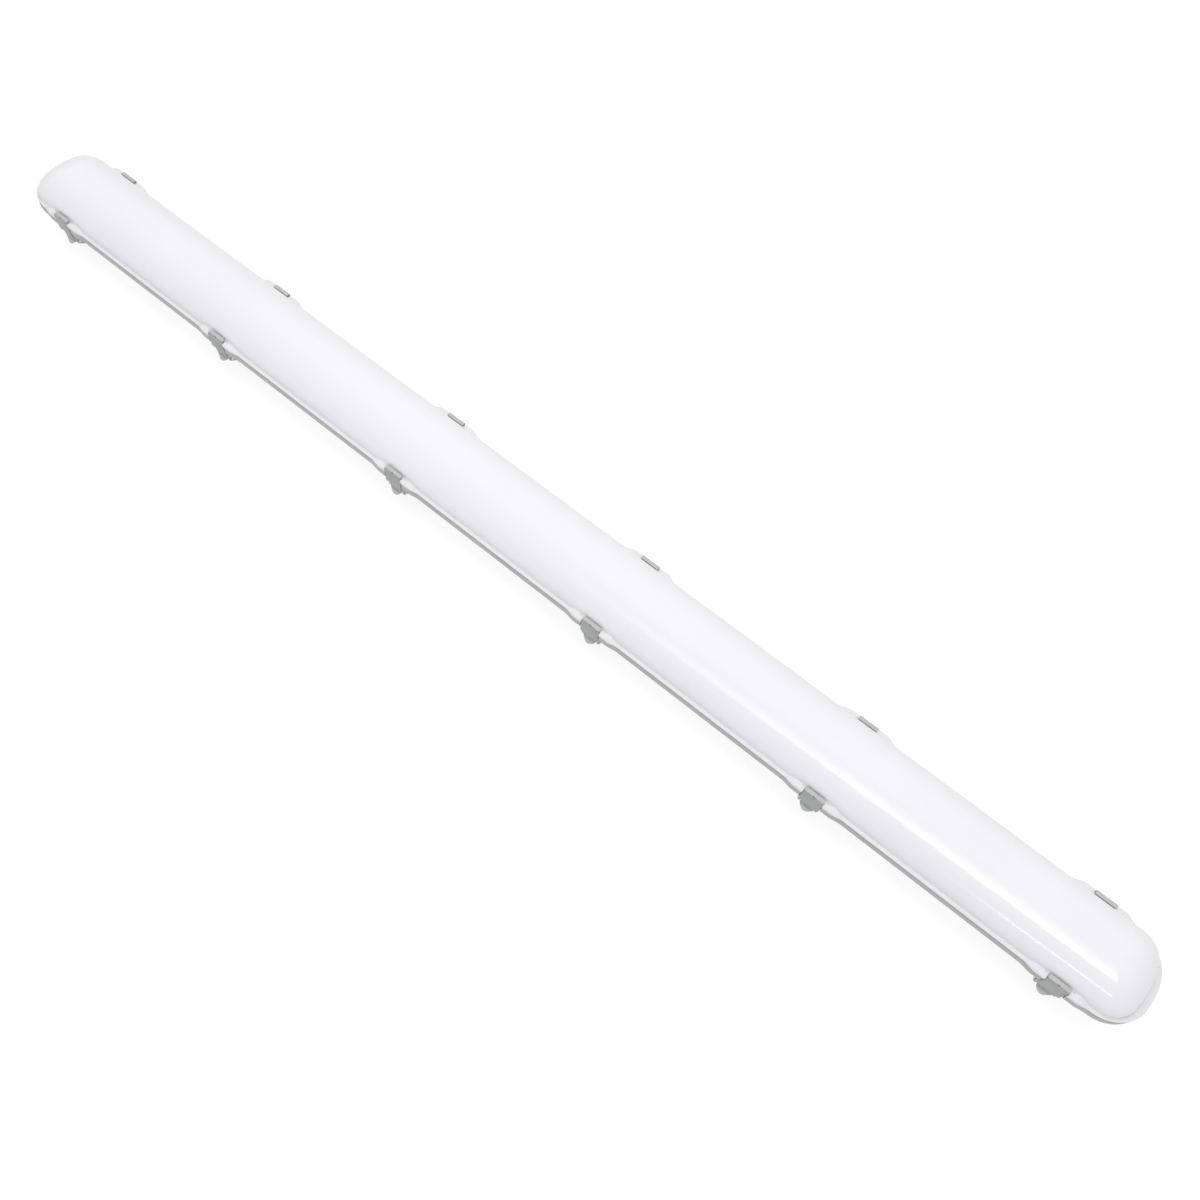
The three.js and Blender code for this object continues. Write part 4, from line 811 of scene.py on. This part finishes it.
def build_pins():
    reach, head, soft = EAR_OUTSIDE + GAP, PIN_RADIUS + 1.0, 0.35
    end = reach + 1.0
    half = [(PIN_RADIUS, reach), (head, reach), *rounded(soft, (head, end), reach, 3), (0, end)]
    profile = [(r, -x) for r, x in reversed(half)] + half
    return at_sites("pins_look", turned("pin", profile, "X", 20, (0, *PIVOT)), LATCH_SITES)


# Cable gland and blanking plug
BOSS_X, BOSS_INSIDE_X, BOSS_RADIUS, ENTRY_RADIUS = 758.5, 749.0, 16.0, 10.0
SEAT_X = BOSS_X + GAP
COLLAR_X = SEAT_X + 5.0
COLLAR_END_X, COLLAR_RADIUS = COLLAR_X + 7.0, ENTRY_RADIUS - 1.4
COLLAR_WALL, THREAD_ROOT, RING_SHEET = 2.2, ENTRY_RADIUS - 0.5, 1.6
HEX_FLAT = ENTRY_RADIUS + 2.0
GLAND_MIDDLE = (0, 0, ENTRY_Z)


def moved(made, x=0.0, z=0.0):
    made.data.transform(Matrix.Translation((x, 0, z)))
    return made


def raised(made, turn=0.0):
    """Brings a piece from the X axis to the entries, at the end that the turn about Z gives."""
    made.data.transform(Matrix.Rotation(turn, 4, "Z"))
    return moved(made, z=ENTRY_Z)


def hex_bar(name, flat, low, high, chamfer=1.0):
    """Hexagonal bar along X with its corners turned off at both ends."""
    corner = flat / cos(pi / 6)
    outline = [(corner * cos(pi / 3 * k), corner * sin(pi / 3 * k)) for k in range(6)]
    bar_six = across_profile(name, outline, low, high)
    turned_off = turned("round", [(0, low), (corner - chamfer, low), (corner, low + 0.6 * chamfer),
                                  (corner, high - 0.6 * chamfer), (corner - chamfer, high), (0, high)], "X", 60)
    return shape_with(bar_six, [turned_off], "INTERSECT")


def build_gland_body():
    inside = BOSS_INSIDE_X - 7.0
    thread, pitch, x = [], 1.5, inside
    while x + pitch < SEAT_X:
        thread += [(THREAD_ROOT, x), (ENTRY_RADIUS, x + 0.45 * pitch), (ENTRY_RADIUS, x + 0.55 * pitch)]
        x += pitch
    stem = turned("stem", [(0, inside), *thread, (THREAD_ROOT, x), (ENTRY_RADIUS, SEAT_X + 1),
                           (0, SEAT_X + 1)], "X", 40)
    collar = bar("collar", COLLAR_RADIUS, SEAT_X + 1, COLLAR_END_X, "X", 40)
    body = hex_bar("gland_body_look", HEX_FLAT, SEAT_X, COLLAR_X)
    join(body, stem, collar)
    bore = bar("bore", COLLAR_RADIUS - COLLAR_WALL, inside - 1, COLLAR_END_X + 1, "X", 40)
    return raised(cut(body, bore))


def build_gland_nut():
    low = COLLAR_X + GAP
    high, soft = low + 13.0, 3.0
    nut = hex_bar("gland_nut_look", HEX_FLAT, low, high, 0.6)
    corner, mouth_radius = HEX_FLAT / cos(pi / 6), 5.4
    dome = turned("dome", [(0, low), (corner, low), *rounded(soft, (corner, high), low, 8), (0, high)], "X", 60)
    shape_with(nut, [dome], "INTERSECT")
    cavity = bar("cavity", COLLAR_RADIUS + GAP, low - 1, COLLAR_END_X + GAP, "X", 40)
    mouth = turned("mouth", [(0, low), (mouth_radius, low), (mouth_radius, high - 1.2),
                             (mouth_radius + 1.0, high + 0.2), (0, high + 0.2)], "X", 40)
    return raised(cut(nut, cavity, mouth))


def build_seal():
    length, wall, soft = 8.0, 1.9, 0.6
    high, outer = COLLAR_END_X, COLLAR_RADIUS - COLLAR_WALL - GAP
    low, inner = high - length, outer - wall
    profile = [(inner, low), (outer, low), (outer, high), (inner + soft, high), (inner, high - soft)]
    return raised(turned("gland_seal_look", profile, "X", 40))


def build_locknut():
    high = BOSS_INSIDE_X - GAP
    nut = hex_bar("gland_locknut_look", ENTRY_RADIUS + 4.0, high - 4.0, high)
    return raised(cut(nut, bar("bore", ENTRY_RADIUS + GAP, high - 5, high + 1, "X", 40)))


def build_plug():
    low, seat = BOSS_INSIDE_X - 4.0, SEAT_X + RING_SHEET + GAP
    high, head = seat + 4.0, ENTRY_RADIUS + 3.5
    plug = turned("blanking_plug_look", [
        (0, low), (THREAD_ROOT, low), (ENTRY_RADIUS, low + 0.5), (ENTRY_RADIUS, seat),
        (head, seat), *rounded(1.2, (head, high), seat, 5), (0, high)], "X", 60)
    slot = block("slot", (high - 2, -head / 2, -1), (high + 1, head / 2, 1))
    bevel(slot, 0.3)
    cut(plug, slot)
    return raised(plug, pi)


def build_plug_ring():
    inner, outer = ENTRY_RADIUS + GAP, ENTRY_RADIUS + 2.3
    low, high, soft = SEAT_X, SEAT_X + RING_SHEET, 0.4
    profile = [(inner, low), (outer - soft, low), (outer, low + soft), (outer, high - soft),
               (outer - soft, high), (inner, high)]
    return raised(turned("plug_ring_look", profile, "X", 48), pi)


# Spring brackets
def build_brackets():
    """Clips folded from one sheet, with bends in place of sharp corners."""
    lean = atan2(BODY_U - BACK_U, FLANGE_Z - BACK_Z)
    play = GAP / cos(lean)
    outside, hook_u = play + BRACKET_SHEET, wall_u(HOOK_Z) - BRACKET_HOOK
    top_u, bend = wall_u(BRACKET_RISE) + outside, 1.6
    arm = [*arc((wall_u(0) + outside - bend * 1.25, bend), bend, -pi / 2, -lean, 6),
           (top_u - 0.25, BRACKET_RISE - 0.6), (top_u - 0.7, BRACKET_RISE), (hook_u, BRACKET_RISE),
           (hook_u, HOOK_Z), (wall_u(HOOK_Z) + play, HOOK_Z), (wall_u(BRACKET_SHEET) + play, BRACKET_SHEET)]
    half = BRACKET_WIDTH / 2
    clip = across_profile("clip", arm + mirrored(arm), -half, half)
    bevel(clip, 0.2, angle=radians(50))
    slot_end, radius = 4.75, 2.75
    middle = slab("slot", slot_end, radius, -1, 3)
    ends = [bar("end", radius, -1, 3, "Z", 32, (side * slot_end, 0, 0)) for side in (1, -1)]
    return at_sites("brackets_look", cut(clip, middle, *ends), [(x, 0, 0, 0) for x in (-BRACKET_X, BRACKET_X)])


# Tray, boards, driver, terminal block and wires
def build_tray():
    low, sheet, bend = TRAY_Z - 9.0, 1.0, 1.6
    outer = [(TRAY_U, low), *arc((TRAY_U - bend, TRAY_Z - bend), bend, 0, pi / 2, 5)]
    inner = [(TRAY_U - sheet, low), *arc((TRAY_U - bend, TRAY_Z - bend), bend - sheet, 0, pi / 2, 5)][::-1]
    outline = outer + mirrored(outer) + mirrored(inner) + inner
    tray = across_profile("gear_tray_look", outline, -TRAY_X, TRAY_X)
    holes = at_sites("holes", bar("hole", SCREW_HOLE, TRAY_Z - 2.5, TRAY_Z + 1, "Z", 20), PILLAR_SITES)
    return cut(tray, holes)


def build_tray_screws():
    seat, low = TRAY_Z + GAP, HANG_Z - 9.0
    core, crest, pitch, head, brim, height = 1.0, 1.3, 0.8, 3.4, 0.9, 2.0
    thread, z = [], low + 1.4
    while z < seat - 1.2:
        thread += [(core, z), (crest, z + pitch / 2), (core, z + pitch)]
        z += pitch
    screw = turned("screw", [(0, low), *thread, (1.2, seat), (head, seat), (head, seat + brim),
                             *rounded(1.1, (head, seat + height), seat), (0, seat + height)], "Z", 24)
    slots = [slab("slot", x, y, seat + brim, seat + 3) for x, y in ((2.0, 0.45), (0.45, 2.0))]
    return at_sites("tray_screws_look", cut(screw, *slots), PILLAR_SITES)


BOARDS, BOARD_GAP, BOARD_WIDTH = 3, 6.0, 24.0
LAMP_PITCH, LAMP_SIZE = 13.0, (3.5, 2.8, 0.8)
BOARD_LENGTH = (2 * (TRAY_X - 4.5) - (BOARDS - 1) * BOARD_GAP) / BOARDS
BOARD_LOW, BOARD_TOP = TRAY_Z + GAP, TRAY_Z + GAP + 1.6


def build_board(place):
    """Light board with a rounded outline, its lamps and the plug at each end."""
    x = (place - 1) * (BOARD_LENGTH + BOARD_GAP)
    half, wide, corner = BOARD_LENGTH / 2, BOARD_WIDTH / 2, 1.5
    outline = []
    for k, (side, end) in enumerate(((1, 1), (-1, 1), (-1, -1), (1, -1))):
        centre = (side * (half - corner), end * (wide - corner))
        outline += arc(centre, corner, pi / 2 * k, pi / 2 * (k + 1), 5)
    sheet = prism("sheet", *([(px + x, py, z) for px, py in outline] for z in (BOARD_LOW, BOARD_TOP)))
    plugs = []
    for side in (1, -1):
        middle = x + side * (half - 4.8)
        plug = slab("plug", 4.5, 3.5, BOARD_TOP - 0.4, BOARD_TOP + 4.0, middle)
        slots = [slab("mouth", 3.6, 0.9, BOARD_TOP + 1.6, BOARD_TOP + 5, middle, y) for y in (-1.6, 1.6)]
        plugs.append(cut(bevel(plug, 0.25), *slots))
    join(sheet, *plugs)
    lamps = int((BOARD_LENGTH - 40) / LAMP_PITCH)
    row = grown("lamps", ROW_TREE, Count=lamps, First=(x - LAMP_PITCH * (lamps - 1) / 2, 0, BOARD_TOP + 0.3),
                Pitch=(LAMP_PITCH, 0, 0), Size=LAMP_SIZE, Finish=PHOSPHOR)
    return sheet, row


DRIVER_HALF, DRIVER_X, DRIVER_WIDE, DRIVER_HEIGHT = 140.0, -200.0, 15.0, 20.0


def build_driver():
    low, long, wide, deep = HANG_Z - DRIVER_HEIGHT, DRIVER_HALF, DRIVER_WIDE, 1.2
    foot_end, slot_half = long + 14.0, 2.25
    can = bevel(slab("driver_look", long, wide, low, HANG_Z), 0.9, 3)
    foot = slab("foot", foot_end, wide, HANG_Z - 2, HANG_Z)
    join(can, bevel(foot, 0.4))
    slots = []
    for side in (1, -1):
        start, end = sorted((side * (long + 7), side * (foot_end + 1)))
        slots.append(block("slot", (start, -slot_half, low), (end, slot_half, HANG_Z + 1)))
    groove = slab("groove", long + 1, wide + 1, low + 3.2, low + 4.4)
    core = slab("core", long - deep, wide - deep, low, HANG_Z)
    cut(groove, core)
    cut(can, *slots, groove)
    return moved(can, DRIVER_X)


POLE_PITCH, TERMINAL_X, TERMINAL_HALF, TERMINAL_HEIGHT = 8.0, FLANGE_X - 143.0, 9.0, 17.0
WIRE_Z = HANG_Z - TERMINAL_HEIGHT / 2
WIRE_PLACES = (-POLE_PITCH, 0.0, POLE_PITCH)


def build_terminal():
    low, wide, long = HANG_Z - TERMINAL_HEIGHT, 1.5 * POLE_PITCH, TERMINAL_HALF
    body = bevel(slab("terminal_block_look", long, wide, low, HANG_Z), 0.6)
    hole, well, cuts = 2.0, 1.5, []
    for y in WIRE_PLACES:
        for ends in ((long - 6, long + 1), (-long - 1, 6 - long)):
            cuts.append(bar("hole", hole, *ends, "X", 24, (0, y, WIRE_Z)))
        cuts.append(bar("well", well, low - 1, low + 5, "Z", 24, (3, y, 0)))
    for y in (-POLE_PITCH / 2, POLE_PITCH / 2):
        cuts.append(slab("groove", long + 1, 0.4, low - 1, low + 1.2, y=y))
    cut(body, *cuts)
    return moved(body, TERMINAL_X)


def build_wire(name, y, material):
    mouth, end = TERMINAL_X - TERMINAL_HALF, DRIVER_X + DRIVER_HALF + GAP
    sag, straight, steps = 4.0, 12.0, 40
    path = [(mouth + 5.7, y, WIRE_Z)]
    for k in range(steps + 1):
        x = (mouth - straight) + (end + straight - mouth + straight) * (k / steps)
        path.append((x, y, WIRE_Z - sag * sin(pi * (k / steps)) ** 1.5))
    path.append((end, y, WIRE_Z))
    return grown(name, WIRE_TREE, path, [(k, k + 1) for k in range(len(path) - 1)], Radius=1.2, Sides=14,
                 Finish=material)


def build_gasket():
    rings, add = ring_stack(0.0)
    outer = inset_plan(DOME_PLAN, GAP - CHANNEL_OUTSIDE)
    inner = inset_plan(DOME_PLAN, LENS_WALL + CHANNEL_INSIDE - GAP)
    low, high, soft = CHANNEL_Z + GAP, TONGUE_Z - GAP, 0.6
    for plan, z in ((inner, low), (outer, low), (outer, high - soft), (inset_plan(outer, soft), high),
                    (inset_plan(inner, -soft), high), (inner, high - soft)):
        add(plan, z)
    return wrapped("gasket_look", rings)


# All pieces in their places
def place_each(*rows):
    """Pieces that ride on the fixture, each with the nodes that it stands for."""
    for build, material, slot, *nodes in rows:
        finish_piece(build(), material, slot, nodes)


def place_latches():
    pattern = build_latch()
    for name, site in zip(LATCH_NAMES, LATCH_SITES):
        latch = at_sites(f"latch_{name}_look", pattern, [site], keep=True)
        finish_piece(latch, LATCH_GREY, "latch_plastic", [f"latch_{name}"], f"latch_{name}")
    remove(pattern)


def place_boards():
    for place in range(BOARDS):
        board, lamps = build_board(place)
        board.name, lamps.name = f"light_board_{place + 1}_look", f"lamps_{place + 1}"
        finish_piece(board, BOARD_WHITE, "board_white", [f"light_board_{place + 1}"])
        finish_piece(lamps, PHOSPHOR, "board_white")


def place_wires():
    for (tag, material), y in zip(WIRES.items(), WIRE_PLACES):
        wire = build_wire(f"wire_{tag}_look", y, material)
        finish_piece(wire, material, f"wire_{tag}", [f"wire_{tag}"])


place_each(
    (build_lens, OPAL, "opal_lens", "lens"),
    (build_housing, HOUSING_GREY, "housing_plastic", "housing"),
    (build_gasket, FOAM, "gasket_foam", "gasket"))
place_latches()
place_each(
    (build_pins, STEEL, "stainless_steel", *(f"pin_{name}" for name in LATCH_NAMES)),
    (build_gland_body, GLAND_GREY, "gland_plastic", "gland_body"),
    (build_gland_nut, GLAND_GREY, "gland_plastic", "gland_nut"),
    (build_seal, RUBBER, "seal_rubber", "gland_seal"),
    (build_locknut, GLAND_GREY, "gland_plastic", "gland_locknut"),
    (build_plug, GLAND_GREY, "gland_plastic", "blanking_plug"),
    (build_plug_ring, RUBBER, "seal_rubber", "plug_ring"),
    (build_brackets, STEEL, "stainless_steel", "bracket_1", "bracket_2"),
    (build_tray, TRAY_WHITE, "tray_paint", "gear_tray"),
    (build_tray_screws, STEEL, "stainless_steel", *(f"tray_screw_{k}" for k in range(1, 5))))
place_boards()
place_each(
    (build_driver, DRIVER_WHITE, "driver_case", "driver"),
    (build_terminal, TERMINAL_GREY, "terminal_plastic", "terminal_block"))
place_wires()


# White floor and background
def by_ray(tree, seen, others):
    """Mix of two shaders: one for the rays that show the background, one for all others."""
    path = add_node(tree, "ShaderNodeLightPath")
    found = path["Is Camera Ray"]
    for kind in ("Is Glossy Ray", "Is Transmission Ray"):
        found = worked_out(tree, "MAXIMUM", found, path[kind])
    return add_node(tree, "ShaderNodeMixShader", {0: found, 1: others[0], 2: seen[0]})[0]


def bare_tree(data):
    """Emptied node tree of a material or world."""
    data.use_nodes = True
    data.node_tree.nodes.clear()
    return data.node_tree


def stage_sheet(name, corners):
    """Sheet of the stage with an empty material, and that material's tree."""
    mesh = bpy.data.meshes.new(name)
    mesh.from_pydata(corners, [], [(0, 1, 2, 3)])
    material = bpy.data.materials.new(name)
    mesh.materials.append(material)
    sheet = add_object(name, mesh)
    return sheet, bare_tree(material)


def build_floor():
    """White ground a little under the mounting face. It keeps a soft shadow for the rays that show it."""
    half, low = 6.0, -0.0002
    corners = [(x * half, y * half, low) for x, y in ((-1, -1), (1, -1), (1, 1), (-1, 1))]
    floor, tree = stage_sheet("floor", corners)
    seen = add_node(tree, "ShaderNodeBsdfDiffuse", {"Color": (0.26, 0.26, 0.26, 1)})
    glow = add_node(tree, "ShaderNodeEmission", {"Strength": 0.84})
    both = add_node(tree, "ShaderNodeAddShader", {0: seen[0], 1: glow[0]})
    bounce = add_node(tree, "ShaderNodeBsdfDiffuse", {"Color": (0.95, 0.95, 0.95, 1)})
    add_node(tree, "ShaderNodeOutputMaterial", {"Surface": by_ray(tree, both, bounce)})


def build_world(light):
    world = bpy.data.worlds.new("white_room")
    bpy.context.scene.world = world
    tree = bare_tree(world)
    shown, lit = (add_node(tree, "ShaderNodeBackground", {"Color": (1, 1, 1, 1), "Strength": strength})
                  for strength in (1.0, light))
    add_node(tree, "ShaderNodeOutputWorld", {"Surface": by_ray(tree, shown, lit)})


def build_lamp(name, place, target, size, power):
    """Rectangular lamp that faces a target. The sheets below stand for it in the gloss."""
    lamp = bpy.data.lights.new(name, "AREA")
    lamp.shape, lamp.energy = "RECTANGLE", power
    lamp.size, lamp.size_y = size
    made = add_object(name, lamp)
    made.location = place
    made.rotation_euler = (Vector(target) - Vector(place)).to_track_quat("-Z", "Y").to_euler()
    made.visible_glossy = False


def build_reflection(name, corners, strength, fade, growth):
    """Glowing sheet that only glossy rays meet. It fades across from its first edge, over a share of its
    breadth, and grows along that edge over a range of shares of its length."""
    sheet, tree = stage_sheet(name, corners)
    for loop, value in zip(sheet.data.uv_layers.new(name="fade").data, ((0, 0), (1, 0), (1, 1), (0, 1))):
        loop.uv = value
    for kind in ("camera", "diffuse", "transmission", "volume_scatter", "shadow"):
        setattr(sheet, f"visible_{kind}", False)
    place = add_node(tree, "ShaderNodeUVMap", uv_map="fade")
    parts = add_node(tree, "ShaderNodeSeparateXYZ", {0: place[0]})
    across = ranged(tree, parts["Y"], (0.0, fade), (strength, 0.0))
    level = worked_out(tree, "MULTIPLY", across, ranged(tree, parts["X"], growth))
    glow = add_node(tree, "ShaderNodeEmission", {"Strength": level})
    clear = add_node(tree, "ShaderNodeBsdfTransparent")
    both = add_node(tree, "ShaderNodeAddShader", {0: glow[0], 1: clear[0]})
    add_node(tree, "ShaderNodeOutputMaterial", {"Surface": both[0]})


build_floor()
build_world(light=0.66)
build_lamp("top_lamp", place=(0, 0.1, 2.0), target=(0, 0, 0.05), size=(3.0, 1.2), power=21.8)
# The first edge of the long sheet shows as the long highlight's edge in the lens
first, edge, breadth = Vector((-0.85, -1.76, 1.6)), Vector((2.13, 0.845, 0)) * 1.08, Vector((-0.52, 1.3, 0))
build_reflection("long_reflection", [first, first + edge, first + edge + breadth, first + breadth],
                 strength=4.2, fade=0.62, growth=(0.05, 0.85))
build_reflection("thin_reflection", [(0.711, -1.421, 0.668), (1.376, -1.176, 0.915), (1.387, -1.184, 0.896),
                                     (0.722, -1.429, 0.649)], strength=17.0, fade=9.0, growth=(0.02, 0.5))


# Camera of the photo
def build_camera():
    camera = bpy.data.cameras.new("camera")
    camera.sensor_width, camera.lens = 36.0, 32.71
    camera.clip_start, camera.clip_end = 0.02, 50.0
    made = add_object("camera", camera)
    made.location = (0.40575, -0.52223, 1.0712)
    made.rotation_euler = (0.5063771562, -0.0993921972, 0.6802441508)
    bpy.context.scene.camera = made


build_camera()
bpy.context.scene.view_settings.view_transform = "Standard"
